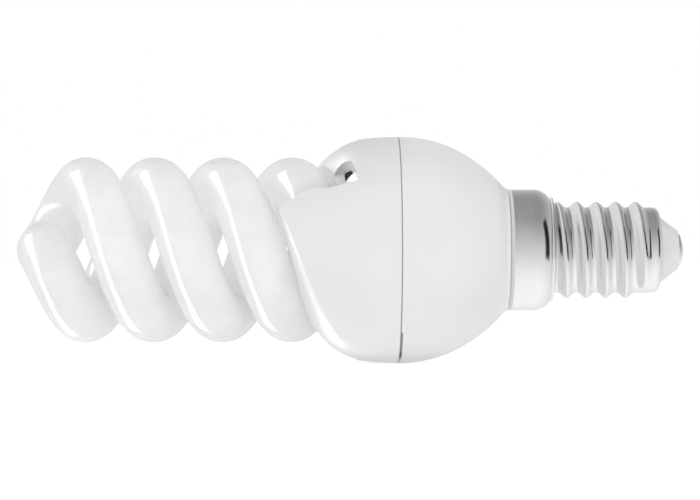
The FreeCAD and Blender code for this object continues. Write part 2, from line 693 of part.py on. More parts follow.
def hairpin(name, radius, length, y, z, far_y, far_z):
    """Upright piece with one lead straight down and the other bent over its top and down beside it."""
    base = f"({BOARD_FACE} + sizes.stand_off)"
    body = rod(name + "_body", radius, length, base, y, z)
    foot = lead(name + "_foot", "sizes.stand_off + 0.5", y, z)
    lead_places.append((far_y, far_z))
    top = value(f"{base} + {length}")
    back = value(BOARD_BACK)
    bend = top + 1.3
    points = [(top - 0.5, y, z), (bend, y, z), (bend, far_y, far_z), (back, far_y, far_z)]
    arm = shaped(name + "_arm", routed(points, value("sizes.lead_radius")))
    return fuse(name, [body, foot, arm])


def make_capacitor():
    """Smoothing capacitor: a can with a rolled groove near its foot, on two long leads."""
    start = f"({BOARD_FACE} + sizes.can_lift)"
    body = doc.addObject("PartDesign::Body", "capacitor_can")
    corners = [
        (start, "0"),
        (start, "sizes.can_radius - 0.4"),
        (f"{start} + 0.4", "sizes.can_radius"),
        (f"{start} + 1.6", "sizes.can_radius"),
        (f"{start} + 2.2", "sizes.can_radius - 0.35"),
        (f"{start} + 2.8", "sizes.can_radius"),
        (f"{start} + sizes.can_length - 0.4", "sizes.can_radius"),
        (f"{start} + sizes.can_length", "sizes.can_radius - 0.4"),
        (f"{start} + sizes.can_length", "0"),
    ]
    turned(body, "can_shape", corners, {1: (-1, "0.4"), 6: (-1, "0.4")})
    leads = [lead(f"capacitor_lead_{side}", "sizes.can_lift + 0.5", offset, "0.4")
             for side, offset in (("left", "-1.25"), ("right", "1.25"))]
    return fuse("smoothing_capacitor", [body] + leads)


def make_choke():
    """Choke: bobbin with its winding, and a core of two halves whose middle legs meet inside it."""
    foot = f"({BOARD_FACE} + sizes.flange)"
    across = "sizes.choke_width"
    middle = "-sizes.choke_offset"
    window = "(sizes.choke_width / 2 - sizes.choke_web - sizes.choke_leg / 2)"
    pieces = []
    for name, level, web_level in (
        ("choke_core_front", foot, foot),
        ("choke_core_rear", f"({foot} + sizes.choke_height / 2)",
         f"({foot} + sizes.choke_height - sizes.choke_web)"),
    ):
        half = block(name + "_block", ("sizes.choke_height / 2", across, "sizes.choke_depth"),
                     level, f"-{across} / 2", f"{middle} - sizes.choke_depth / 2")
        inner_level = f"{level} + sizes.choke_web" if name.endswith("front") else level
        windows = []
        for side, y in (("left", f"-{across} / 2 + sizes.choke_web"), ("right", "sizes.choke_leg / 2")):
            windows.append(block(f"{name}_window_{side}",
                                 ("sizes.choke_height / 2 - sizes.choke_web", window,
                                  "sizes.choke_depth + 2"),
                                 inner_level, y, f"{middle} - sizes.choke_depth / 2 - 1"))
        trims = []
        for side, z in (("low", f"{middle} - sizes.choke_depth / 2 - 1"),
                        ("high", f"{middle} + sizes.choke_leg / 2")):
            trims.append(block(f"{name}_trim_{side}",
                               ("sizes.choke_height / 2 - sizes.choke_web", "sizes.choke_leg + 0.2",
                                "(sizes.choke_depth - sizes.choke_leg) / 2 + 1"),
                               inner_level, "-sizes.choke_leg / 2 - 0.1", z))
        pieces.append(cut(name, half, windows + trims))
    inside = f"({foot} + sizes.choke_web + sizes.slide_play)"
    room = "(sizes.choke_height - 2 * sizes.choke_web - 2 * sizes.slide_play)"
    hollow = "(sizes.choke_leg + 2 * sizes.slide_play)"
    sleeve_side = f"({hollow} + 2 * sizes.flange)"
    flange_across = f"(sizes.choke_leg + 2 * {window} - 2 * sizes.slide_play)"
    flange_tall = "(sizes.choke_depth + 3.2)"

    def centred(name, size_x, size_y, size_z, x):
        return block(name, (size_x, size_y, size_z), x, f"-({size_y}) / 2", f"{middle} - ({size_z}) / 2")

    sleeve = centred("bobbin_sleeve", room, sleeve_side, sleeve_side, inside)
    low = centred("bobbin_flange_low", "sizes.flange", flange_across, flange_tall, inside)
    high = centred("bobbin_flange_high", "sizes.flange", flange_across, flange_tall,
                   f"{inside} + {room} - sizes.flange")
    solid = fuse("bobbin_solid", [sleeve, low, high])
    bore = centred("bobbin_bore", f"{room} + 2", hollow, hollow, f"{inside} - 1")
    bobbin = cut("choke_bobbin", solid, [bore])
    wound_level = f"{inside} + sizes.flange"
    wound_room = f"({room} - 2 * sizes.flange)"
    coil = centred("choke_coil_block", wound_room, f"{flange_across} - 0.3", f"{flange_tall} - 0.6",
                   wound_level)
    core_room = centred("choke_coil_room", f"{room} + 2", sleeve_side, sleeve_side, f"{inside} - 1")
    rounded = doc.addObject("Part::Fillet", "choke_coil_round")
    doc.recompute()
    rounded.Base = coil
    edges = []
    for number, edge in enumerate(coil.Shape.Edges, start=1):
        if abs(edge.Vertexes[0].X - edge.Vertexes[1].X) > 1:
            edges.append((number, 0.9, 0.9))
    rounded.Edges = edges
    winding = cut("choke_winding", rounded, [core_room])
    pins = []
    for number, y in enumerate(("-3.2", "3.2"), start=1):
        lead_places.append((y, middle))
        pins.append(rod(f"choke_pin_rod_{number}", "sizes.lead_radius",
                        "sizes.board_thickness + sizes.flange", BOARD_BACK, y, middle))
    feet = centred("choke_base_plate", "sizes.flange", across, "sizes.choke_depth", BOARD_FACE)
    base = fuse("choke_base", [feet] + pins)
    return pieces + [bobbin, winding, base]


def make_drive_ring(y, z):
    """Drive transformer: a ferrite ring lying on the board with three small windings through its bore."""
    foot = f"{BOARD_FACE} + 2.2 * sizes.turn_radius"
    outer = rod("ring_outside", "sizes.ring_radius", "sizes.ring_height", foot, y, z)
    bore = rod("ring_inside", "sizes.ring_bore", "sizes.ring_height + 2", f"{BOARD_FACE} - 0.5", y, z)
    ring = cut("drive_ring", outer, [bore])
    wire = value("sizes.turn_radius")
    middle = value("(sizes.ring_radius + sizes.ring_bore) / 2")
    height = value("sizes.ring_height")
    level = value(foot)
    half_width = value("(sizes.ring_radius - sizes.ring_bore) / 2") + wire + 0.03
    turns = []
    for start, count in ((40, 4), (160, 4), (280, 3)):
        for step in range(count):
            angle = math.radians(start + 17 * step)
            out = vector(0, math.cos(angle), math.sin(angle))
            centre = vector(level + height / 2, value(y), value(z)) + out * middle
            up = vector(height / 2 + wire + 0.03, 0, 0)
            corners = [centre - out * half_width - up, centre + out * half_width - up,
                       centre + out * half_width + up, centre - out * half_width + up]
            frame = Part.Wire(Part.makePolygon(corners + corners[:1]).Edges)
            centre_line = corners[1] - corners[0]
            section = Part.Wire(Part.makeCircle(wire, (corners[0] + corners[1]) * 0.5, centre_line))
            loop = Part.BRepOffsetAPI.MakePipeShell(frame)
            loop.setTransitionMode(1)
            loop.add(section)
            loop.build()
            loop.makeSolid()
            turns.append(loop.shape())
    return [ring, shaped("drive_windings", Part.makeCompound(turns))]


def make_transistor(name, y, z, facing):
    """Small moulded transistor: round back, flat face, three leads."""
    base = f"({BOARD_FACE} + sizes.transistor_lift)"
    barrel = rod(name + "_barrel", "sizes.transistor_width / 2", "sizes.transistor_height", base, y, z)
    trim = f"(sizes.transistor_width - sizes.transistor_depth)"
    face_y = f"{y} - sizes.transistor_width / 2 - 1"
    if facing > 0:
        face_y = f"{y} + sizes.transistor_width / 2 - {trim}"
    flat = block(name + "_flat", ("sizes.transistor_height + 2", f"{trim} + 1", "sizes.transistor_width + 2"),
                 f"{base} - 1", face_y, f"{z} - sizes.transistor_width / 2 - 1")
    case = cut(name + "_case", barrel, [flat])
    leads = [lead(f"{name}_lead_{number}", "sizes.transistor_lift + 0.4", y,
                  f"{z} + {step} * sizes.transistor_leads")
             for number, step in enumerate((-1, 0, 1), start=1)]
    return fuse(name, [case] + leads)


def make_film_capacitor(name, y, z):
    """Dipped film capacitor: a rounded block on two leads."""
    base = f"({BOARD_FACE} + sizes.stand_off)"
    coat = block(name + "_coat", ("sizes.film_height", "sizes.film_width", "sizes.film_depth"),
                 base, f"{y} - sizes.film_width / 2", f"{z} - sizes.film_depth / 2")
    doc.recompute()
    soft = doc.addObject("Part::Fillet", name + "_soft")
    soft.Base = coat
    edge_round = value("sizes.film_edge")
    soft.Edges = [(number, edge_round, edge_round) for number in range(1, len(coat.Shape.Edges) + 1)]
    leads = [lead(f"{name}_lead_{side}", "sizes.stand_off + 0.5", f"{y} + {hand} * sizes.film_leads / 2", z)
             for side, hand in (("left", -1), ("right", 1))]
    return fuse(name, [soft] + leads)


def make_filter_inductor(y, z):
    """Drum core with its winding, standing on the board."""
    base = BOARD_FACE
    low = rod("drum_low", "sizes.drum_radius", "sizes.drum_flange", base, y, z)
    core = rod("drum_middle", "sizes.drum_core", "sizes.drum_height", base, y, z)
    high = rod("drum_high", "sizes.drum_radius", "sizes.drum_flange",
               f"{base} + sizes.drum_height - sizes.drum_flange", y, z)
    leads = [lead(f"drum_lead_{side}", "0.5", f"{y} + {hand} * 1.8", z)
             for side, hand in (("left", -1), ("right", 1))]
    drum = fuse("filter_inductor", [low, core, high] + leads)
    room = "(sizes.drum_height - 2 * sizes.drum_flange)"
    coil = rod("drum_coil", "sizes.drum_radius - 0.35", room, f"{base} + sizes.drum_flange", y, z)
    hole = rod("drum_coil_room", "sizes.drum_core", f"{room} + 2", f"{base} + sizes.drum_flange - 1", y, z)
    return [drum, cut("filter_winding", coil, [hole])]


PIN_PLACES = (("-5.9", "-11.1"), ("-3.0", "-12.2"), ("5.9", "11.1"), ("3.0", "12.2"))


def make_wrap_pins():
    pins = []
    for number, (y, z) in enumerate(PIN_PLACES, start=1):
        pins.append(block(f"wrap_pin_{number}", ("sizes.pin_length", "sizes.pin_side", "sizes.pin_side"),
                          f"{BOARD_FACE} - sizes.pin_length", f"{y} - sizes.pin_side / 2",
                          f"{z} - sizes.pin_side / 2"))
    return pins


def make_tube_leads(ways):
    """Lead wires of the glass, each wrapped round its pin."""
    leads = []
    radius = value("sizes.tube_lead_radius")
    wrap = value(f"{BOARD_BACK} - 2.2")
    length = value("sizes.pinch_length")
    for strand, (tip, way) in enumerate(((tube_points[0], ways[0]), (tube_points[-1], ways[1]))):
        seal = tip + way * length
        order = (3, 2) if strand == 0 else (1, 0)
        for pair, number in enumerate(order):
            pin = vector(wrap, *[value(text) for text in PIN_PLACES[number]])
            side = vector(1, 0, 0).cross(way).normalize()
            start = seal + side * (1.1 * (1 if pair == 0 else -1))
            first = start + way * 1.2
            near = pin - first
            near.x = 0
            near.normalize()
            last = pin - near * 0.35
            middle = first + (last - first) * 0.5
            middle.x = wrap
            arm = routed([start, first, middle, last], radius)
            outer = Part.makeCylinder(0.85, 1.4, pin - vector(0.7, 0, 0), vector(1, 0, 0))
            inner = Part.makeBox(2.4, 0.6, 0.6, pin - vector(1.2, 0.3, 0.3))
            wraps = outer.cut(inner)
            leads.append(shaped(f"tube_lead_{number + 1}", arm.cut(inner).fuse(wraps)))
    return leads


def make_wires():
    """Insulated wires from the board to the cap, and the fuse resistor in the live one."""
    radius = value("sizes.wire_radius")
    face = value(BOARD_FACE)
    beside = value("sizes.can_radius + sizes.wire_radius + 0.2")
    fuse_near = value("sizes.fuse_start")
    live_points = [(face, 11.6, 2.4), (face + 5, 11.6, 2.4), (-5.5, 8.6, 1.6), (-1.5, beside + 0.2, 1.0),
                   (2.5, beside, 0.4), (9.3, beside, 0), (fuse_near - 1.7, 0.95, 0), (fuse_near, 0.95, 0)]
    live = shaped("live_wire", routed(live_points, radius))
    touch = value(f"{SHELL_BORE} - sizes.wire_radius - 0.05")
    neutral_points = [(face, -12.4, 1.8), (face + 5, -12.4, 1.8), (-5.5, -8.8, 1.4),
                      (-1.5, -beside - 0.2, 0.8), (2.5, -beside, 0.2), (7.0, -touch, 0), (12.0, -touch, 0)]
    neutral = shaped("neutral_wire", routed(neutral_points, radius))
    core = rod("fuse_core", "sizes.fuse_radius", "sizes.fuse_length", "sizes.fuse_start", "0", "0")
    front = rod("fuse_lead", "sizes.lead_radius",
                "sizes.tip_start + sizes.contact_thickness - sizes.fuse_start - sizes.fuse_length / 2",
                "sizes.fuse_start + sizes.fuse_length / 2", "0", "0")
    return [live, neutral, fuse("fuse_resistor", [core, front])]


def make_board():
    """Round board drilled for every lead and pin."""
    disc = rod("board_disc", BOARD_RADIUS, "sizes.board_thickness", BOARD_BACK, "0", "0")
    drills = []
    hole = "sizes.lead_radius + sizes.lead_play"
    for number, (y, z) in enumerate(lead_places):
        drills.append(rod(f"board_hole_{number}", hole, "sizes.board_thickness + 2",
                          f"{BOARD_BACK} - 1", y, z))
    for number, (y, z) in enumerate(PIN_PLACES):
        side = "sizes.pin_side"
        drills.append(block(f"board_pin_hole_{number}", ("sizes.board_thickness + 2", side, side),
                            f"{BOARD_BACK} - 1", f"{y} - {side} / 2", f"{z} - {side} / 2"))
    return cut("circuit_board", disc, drills)


def make_solder_joints():
    """Solder on the back of the board, one cone over each lead."""
    joints = []
    for number, (y, z) in enumerate(lead_places, start=1):
        cone = doc.addObject("Part::Cone", f"joint_{number}")
        bind(cone, Radius1="sizes.lead_radius", Radius2="sizes.pad_radius", Height="sizes.pad_height")
        joints.append(place(cone, f"{BOARD_BACK} - sizes.pad_height", y, z, ALONG))
    return group("solder_joints", joints)


def make_cement():
    """Cement in the gap round each strand, just inside its step."""
    first = "(sizes.step_angle - 3)"
    last = f"({first} + 180 / pi * sizes.cement_depth / sizes.coil_radius)"
    outer, sweep = make_tube_way("cement_outside", f"({TUBE} + sizes.way_gap - 0.04)", first, last)
    doubled(outer, "cement_outsides", sweep)
    inner, sweep = make_tube_way("cement_inside", f"({TUBE} + 0.04)", f"({first} - 5)", f"({last} + 5)")
    doubled(inner, "cement_insides", sweep)
    return cut("tube_cement", outer, [inner])


nodes = []
cover = make_cover()
tube, tube_points, tube_ways = make_spiral_tube()
nodes += [tube, cover, make_base_housing(), make_cap_shell(), make_cap_insulator()]
nodes += [make_centre_contact(), make_contact_solder()]
nodes.append(make_cement())
nodes.append(make_capacitor())
nodes += make_choke()
nodes += make_drive_ring("-7.2", "4.8")
nodes.append(make_transistor("transistor_1", "9.6", "-1.6", 1))
nodes.append(make_transistor("transistor_2", "7.9", "-6.9", 1))
nodes.append(make_film_capacitor("resonant_capacitor", "1.4", "9.6"))
nodes.append(make_film_capacitor("coupling_capacitor", "1.4", "5.0"))
nodes += make_filter_inductor("-8.6", "-4.2")
DIODES = (("6.9", "9.0", "8.9", "9.0"), ("6.9", "5.9", "8.4", "7.4"),
          ("10", "6", "10", "4"), ("6.9", "2.8", "8.6", "1.6"))
for number, (y, z, far_y, far_z) in enumerate(DIODES, start=1):
    nodes.append(hairpin(f"rectifier_diode_{number}", "sizes.diode_radius", "sizes.diode_length",
                         y, z, far_y, far_z))
RESISTORS = (("-7.0", "-9.0", "-5.3", "-10.2"), ("-3.2", "0.6", "-4.9", "-0.6"),
             ("3.6", "0.7", "5.4", "-0.3"), ("-4.4", "10.2", "-5.9", "11.0"))
for number, (y, z, far_y, far_z) in enumerate(RESISTORS, start=1):
    nodes.append(hairpin(f"resistor_{number}", "sizes.resistor_radius", "sizes.resistor_length",
                         y, z, far_y, far_z))
nodes.append(hairpin("trigger_diode", "sizes.diac_radius", "sizes.diac_length",
                     "-11.0", "0.2", "-12.3", "-1.2"))
nodes += make_wrap_pins()
nodes += make_tube_leads(tube_ways)
nodes += make_wires()
nodes += [make_board(), make_solder_joints()]
doc.recompute()

faults = [item.Name for item in doc.Objects if "Invalid" in item.State or "Error" in item.State]
for node in nodes:
    node.Label = node.Name
    if node.Shape.isNull() or not node.Shape.isValid():
        faults.append(node.Name)
if faults:
    raise RuntimeError("not built: " + ", ".join(faults))

os.makedirs("parts", exist_ok=True)
for node in nodes:
    node.Shape.exportStep(f"parts/{node.Label}.step")
    print(node.Label, len(node.Shape.Solids), round(node.Shape.Volume, 2))
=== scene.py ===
"""Looks of a spiral energy saving bulb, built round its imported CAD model.

The lamp lies along X with its screw cap towards +X, Z is up and the camera looks along +Y.
Meshes are in metres. Angles round the lamp start at the top and grow towards the camera.
"""

import math

import bpy
from mathutils import Matrix, Vector


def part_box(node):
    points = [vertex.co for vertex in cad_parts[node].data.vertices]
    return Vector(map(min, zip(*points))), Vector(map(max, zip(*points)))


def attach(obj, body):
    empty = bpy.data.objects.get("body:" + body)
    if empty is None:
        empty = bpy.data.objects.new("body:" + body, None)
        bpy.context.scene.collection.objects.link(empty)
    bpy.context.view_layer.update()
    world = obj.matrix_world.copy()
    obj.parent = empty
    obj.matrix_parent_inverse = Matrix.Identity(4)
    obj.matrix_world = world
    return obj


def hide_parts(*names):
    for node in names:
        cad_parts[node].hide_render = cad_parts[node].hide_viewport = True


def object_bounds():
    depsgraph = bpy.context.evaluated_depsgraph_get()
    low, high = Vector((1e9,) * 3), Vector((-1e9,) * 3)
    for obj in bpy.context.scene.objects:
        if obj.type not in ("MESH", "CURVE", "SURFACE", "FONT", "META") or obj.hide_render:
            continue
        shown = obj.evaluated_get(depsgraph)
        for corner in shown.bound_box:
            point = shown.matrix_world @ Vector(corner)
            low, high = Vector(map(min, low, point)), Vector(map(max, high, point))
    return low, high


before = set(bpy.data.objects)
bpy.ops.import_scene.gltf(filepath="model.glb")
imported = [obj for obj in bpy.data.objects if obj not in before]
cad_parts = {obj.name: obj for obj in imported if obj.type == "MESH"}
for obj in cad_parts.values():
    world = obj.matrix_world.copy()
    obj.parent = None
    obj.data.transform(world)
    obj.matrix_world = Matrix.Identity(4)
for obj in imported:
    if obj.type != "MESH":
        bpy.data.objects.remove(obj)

bl_info = {
    "name": "Spiral bulb",
    "version": (1, 0, 0),
    "blender": (4, 5, 0),
    "location": "View3D > Sidebar > Bulb",
    "description": "Builds the finished surfaces and the studio of a spiral energy saving bulb",
    "category": "Object",
}

MM = 0.001
CAD_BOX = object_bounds()
BOARD_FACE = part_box("circuit_board")[1].x

# Noise lies mostly between these two values, so colours spread over what is between them.
NOISE_LOW = 0.35
NOISE_HIGH = 0.65


# Helpers

def linear(text, alpha=1.0):
    """Linear colour of an sRGB hex value."""
    parts = [int(text[i : i + 2], 16) / 255 for i in (0, 2, 4)]
    curve = [c / 12.92 if c <= 0.04045 else ((c + 0.055) / 1.055) ** 2.4 for c in parts]
    return (*curve, alpha)


def add_node(tree, kind, inputs=None, **settings):
    """Adds a node, sets its properties, and fills its inputs with values, sockets or nodes' outputs."""
    node = tree.nodes.new(kind)
    for name, entry in settings.items():
        setattr(node, name, entry)
    for key, entry in (inputs or {}).items():
        if isinstance(entry, bpy.types.Node):
            entry = next(socket for socket in entry.outputs if socket.enabled)
        if isinstance(entry, bpy.types.NodeSocket):
            tree.links.new(entry, node.inputs[key])
        else:
            node.inputs[key].default_value = entry
    return node


def length_setting(name, description, millimetres):
    """Property for a length, with its default given in millimetres."""
    return bpy.props.FloatProperty(
        name=name, description=description, default=millimetres * MM, min=0.0, precision=5,
        unit="LENGTH", subtype="DISTANCE",
    )


def angle_setting(name, description, degrees):
    """Property for an angle, with its default given in degrees."""
    return bpy.props.FloatProperty(
        name=name, description=description, default=math.radians(degrees), unit="ROTATION", subtype="ANGLE",
    )


def number_setting(name, description, default, unit="NONE"):
    """Property for a number that isn't below nothing."""
    return bpy.props.FloatProperty(name=name, description=description, default=default, min=0, unit=unit)


def colour_setting(name, description, text):
    """Property for a colour, with its default given as an sRGB hex value."""
    return bpy.props.FloatVectorProperty(
        name=name, description=description, size=4, min=0.0, max=1.0, subtype="COLOR", default=linear(text),
    )


def new_piece(name, mesh):
    """Object at the origin that carries a finished mesh."""
    piece = bpy.data.objects.new(name, mesh)
    bpy.context.scene.collection.objects.link(piece)
    return piece


def stand_for(piece, slot, *nodes):
    """Lets a piece ride with the lamp in the place of CAD nodes."""
    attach(piece, "root")
    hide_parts(*nodes)


def finish_node(name, material):
    """Gives a CAD node that stays its material."""
    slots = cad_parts[name].data.materials
    slots.clear()
    slots.append(material)


def new_group(name, sockets):
    """Empty geometry node group with named inputs, and its input and output nodes."""
    group = bpy.data.node_groups.new(name, "GeometryNodeTree")
    group.interface.new_socket("Geometry", in_out="INPUT", socket_type="NodeSocketGeometry")
    for title, kind in sockets:
        group.interface.new_socket(title, in_out="INPUT", socket_type=kind)
    group.interface.new_socket("Geometry", in_out="OUTPUT", socket_type="NodeSocketGeometry")
    return group, group.nodes.new("NodeGroupInput"), group.nodes.new("NodeGroupOutput")


def grown(name, base, group, values):
    """Plain mesh that a node group makes from a base mesh and named values."""
    seed = new_piece(name + "_seed", base)
    modifier = seed.modifiers.new(group.name, "NODES")
    modifier.node_group = group
    sockets = {s.name: s.identifier for s in group.interface.items_tree if s.in_out == "INPUT"}
    for title, entry in values.items():
        modifier[sockets[title]] = entry
    bpy.context.view_layer.update()
    depsgraph = bpy.context.evaluated_depsgraph_get()
    mesh = bpy.data.meshes.new_from_object(seed.evaluated_get(depsgraph), depsgraph=depsgraph)
    bpy.data.objects.remove(seed)
    mesh.name = name
    return new_piece(name, mesh)


def turned_mesh(name, outline, steps):
    """Open shell turned round the lamp's axis from pairs of place along the axis and radius."""
    mesh = bpy.data.meshes.new(name)
    points, faces = [], []
    for number in range(steps):
        angle = 2 * math.pi * number / steps
        points += [(x, -r * math.sin(angle), r * math.cos(angle)) for x, r in outline]
    rows = len(outline)
    for number in range(steps):
        here, there = number * rows, (number + 1) % steps * rows
        for row in range(rows - 1):
            faces.append((here + row, there + row, there + row + 1, here + row + 1))
    mesh.from_pydata(points, [], faces)
    mesh.validate()
    return mesh


def arc_points(centre, radius, start, stop, steps):
    """Points of an arc in an outline; angles in degrees from the lamp's axis."""
    turns = [math.radians(start + (stop - start) * n / steps) for n in range(steps + 1)]
    return [(centre[0] + radius * math.cos(t), centre[1] + radius * math.sin(t)) for t in turns]


# Materials. Each is named for the real one.

def new_material(name, **values):
    """Material with a principled shader whose sockets are set by name."""
    material = bpy.data.materials.new(name)
    material.use_nodes = True
    shader = material.node_tree.nodes["Principled BSDF"]
    for title, entry in values.items():
        shader.inputs[title.replace("_", " ")].default_value = entry
    return material, material.node_tree, shader


def mottle(tree, shader, dark, light, scale_mm, detail=3.0):
    """Colour that wanders between two shades in patches of a real size."""
    place = add_node(tree, "ShaderNodeTexCoord")
    noise = add_node(tree, "ShaderNodeTexNoise",
                     {"Vector": place.outputs["Object"], "Scale": 1 / (scale_mm * MM), "Detail": detail})
    ramp = add_node(tree, "ShaderNodeMapRange",
                    {"Value": noise, "From Min": NOISE_LOW, "From Max": NOISE_HIGH})
    mix = add_node(tree, "ShaderNodeMix", {"Factor": ramp, 6: dark, 7: light}, data_type="RGBA")
    tree.links.new(mix.outputs[2], shader.inputs["Base Color"])
    return mix


def grain(tree, shader, scale_mm, height_mm, strength, stretch=(1.0, 1.0, 1.0), detail=2.0):
    """Raised grain of a real size on the surface."""
    place = add_node(tree, "ShaderNodeTexCoord")
    spread = add_node(tree, "ShaderNodeMapping", {"Vector": place.outputs["Object"], "Scale": stretch})
    noise = add_node(tree, "ShaderNodeTexNoise",
                     {"Vector": spread, "Scale": 1 / (scale_mm * MM), "Detail": detail})
    bump = add_node(tree, "ShaderNodeBump",
                    {"Height": noise, "Distance": height_mm * MM, "Strength": strength})
    tree.links.new(bump.outputs["Normal"], shader.inputs["Normal"])


def coated_glass(settings):
    """Drawn glass tube coated inside with white phosphor.

    The powder gives a soft, nearly even white that lets light through to the shaded side, and the glass over
    it gives a clear highlight that wavers a little.
    """
    material, tree, shader = new_material(
        "phosphor_coated_glass", Roughness=0.55, Specular_IOR_Level=0.2, Coat_Weight=0.5,
        Coat_Roughness=0.04, Coat_IOR=1.5, Subsurface_Weight=1.0, Subsurface_Radius=(1.0, 1.0, 1.0),
        Subsurface_Scale=10.0 * MM)
    mottle(tree, shader, settings.shade, settings.glass, scale_mm=5.0)
    grain(tree, shader, scale_mm=9.0, height_mm=0.05, strength=0.4, stretch=(0.6, 1.0, 1.0), detail=1.0)
    return material


def moulded_pbt(name, dark, light, seam, seam_place):
    """White PBT from a polished mould: satin, with a very fine grain and a line of painted shade at the
    parting.
    """
    material, tree, shader = new_material(name, Roughness=0.36, IOR=1.55)
    plain = mottle(tree, shader, dark, light, scale_mm=14.0, detail=2.0)
    # The two mouldings meet with a bevel of 0.12 mm each, and painted shade darkens the groove between them.
    full_shade = 0.05 * MM
    no_shade = 0.13 * MM
    place = add_node(tree, "ShaderNodeTexCoord")
    axes = add_node(tree, "ShaderNodeSeparateXYZ", {0: place.outputs["Object"]})
    off = add_node(tree, "ShaderNodeMath", {0: axes.outputs["X"], 1: seam_place}, operation="SUBTRACT")
    far = add_node(tree, "ShaderNodeMath", {0: off}, operation="ABSOLUTE")
    line = add_node(tree, "ShaderNodeMapRange", {
        "Value": far, "From Min": full_shade, "From Max": no_shade, "To Min": 1.0, "To Max": 0.0})
    shaded = add_node(tree, "ShaderNodeMix",
                      {"Factor": line, 6: plain.outputs[2], 7: seam}, data_type="RGBA")
    tree.links.new(shaded.outputs[2], shader.inputs["Base Color"])
    grain(tree, shader, scale_mm=0.35, height_mm=0.006, strength=0.35)
    return material


def nickel_plate():
    """Nickel-plated pressed sheet: a mirror blurred along the fine rings that rolling leaves round it."""
    material, tree, shader = new_material(
        "nickel_plated_sheet", Base_Color=linear("E1E1E0"), Metallic=1.0, Roughness=0.17)
    place = add_node(tree, "ShaderNodeTexCoord")
    # The real rings are finer than a pixel, so these are wider. They stay even round the cap, because the
    # noise changes slowly across it.
    ring_width = 0.25 * MM
    ring_height = 0.004 * MM
    patch_size = 3.0 * MM
    spread = add_node(tree, "ShaderNodeMapping",
                      {"Vector": place.outputs["Object"], "Scale": (1.0, 0.03, 0.03)})
    rings = add_node(tree, "ShaderNodeTexNoise", {"Vector": spread, "Scale": 1 / ring_width, "Detail": 2.0})
    bump = add_node(tree, "ShaderNodeBump", {"Height": rings, "Distance": ring_height, "Strength": 0.3})
    tree.links.new(bump.outputs["Normal"], shader.inputs["Normal"])
    patches = add_node(tree, "ShaderNodeTexNoise",
                       {"Vector": place.outputs["Object"], "Scale": 1 / patch_size})
    rough = add_node(tree, "ShaderNodeMapRange", {"Value": patches, "To Min": 0.12, "To Max": 0.24})
    tree.links.new(rough.outputs["Result"], shader.inputs["Roughness"])
    return material


def plain_finish(name, dark, light, patch_mm, grain_mm, height_mm, **values):
    """Material with wandering colour and a raised grain, for the small pieces."""
    material, tree, shader = new_material(name, **values)
    mottle(tree, shader, linear(dark), linear(light), patch_mm)
    grain(tree, shader, grain_mm, height_mm, strength=0.5)
    return material


def laminate():
    """Pressed paper laminate: matt brown, with green lacquer and brighter tracks on its solder side."""
    material, tree, shader = new_material("paper_laminate", Roughness=0.5)
    # The board is 1.6 mm thick, so this plane is just inside its solder side.
    lacquer_start = BOARD_FACE - 1.5 * MM
    cell = 4.5 * MM
    place = add_node(tree, "ShaderNodeTexCoord")
    axes = add_node(tree, "ShaderNodeSeparateXYZ", {0: place.outputs["Object"]})
    solder_side = add_node(tree, "ShaderNodeMath",
                           {0: axes.outputs["X"], 1: lacquer_start}, operation="LESS_THAN")
    # Cells with square corners stand for the tracks, which the photograph doesn't show.
    cells = add_node(tree, "ShaderNodeTexVoronoi", {"Vector": place.outputs["Object"], "Scale": 1 / cell},
                     feature="F2", distance="CHEBYCHEV")
    track = add_node(tree, "ShaderNodeMapRange", {
        "Value": cells.outputs["Distance"], "From Min": 0.55, "From Max": 0.58, "To Min": 0.0, "To Max": 1.0})
    lacquer = add_node(tree, "ShaderNodeMix", {
        "Factor": track, 6: linear("3C6B34"), 7: linear("5C8F4A")}, data_type="RGBA")
    paper = mottle(tree, shader, linear("A67C46"), linear("B88C54"), scale_mm=1.6)
    both = add_node(tree, "ShaderNodeMix",
                    {"Factor": solder_side, 6: paper.outputs[2], 7: lacquer.outputs[2]}, data_type="RGBA")
    tree.links.new(both.outputs[2], shader.inputs["Base Color"])
    grain(tree, shader, scale_mm=0.2, height_mm=0.01, strength=0.5)
    return material


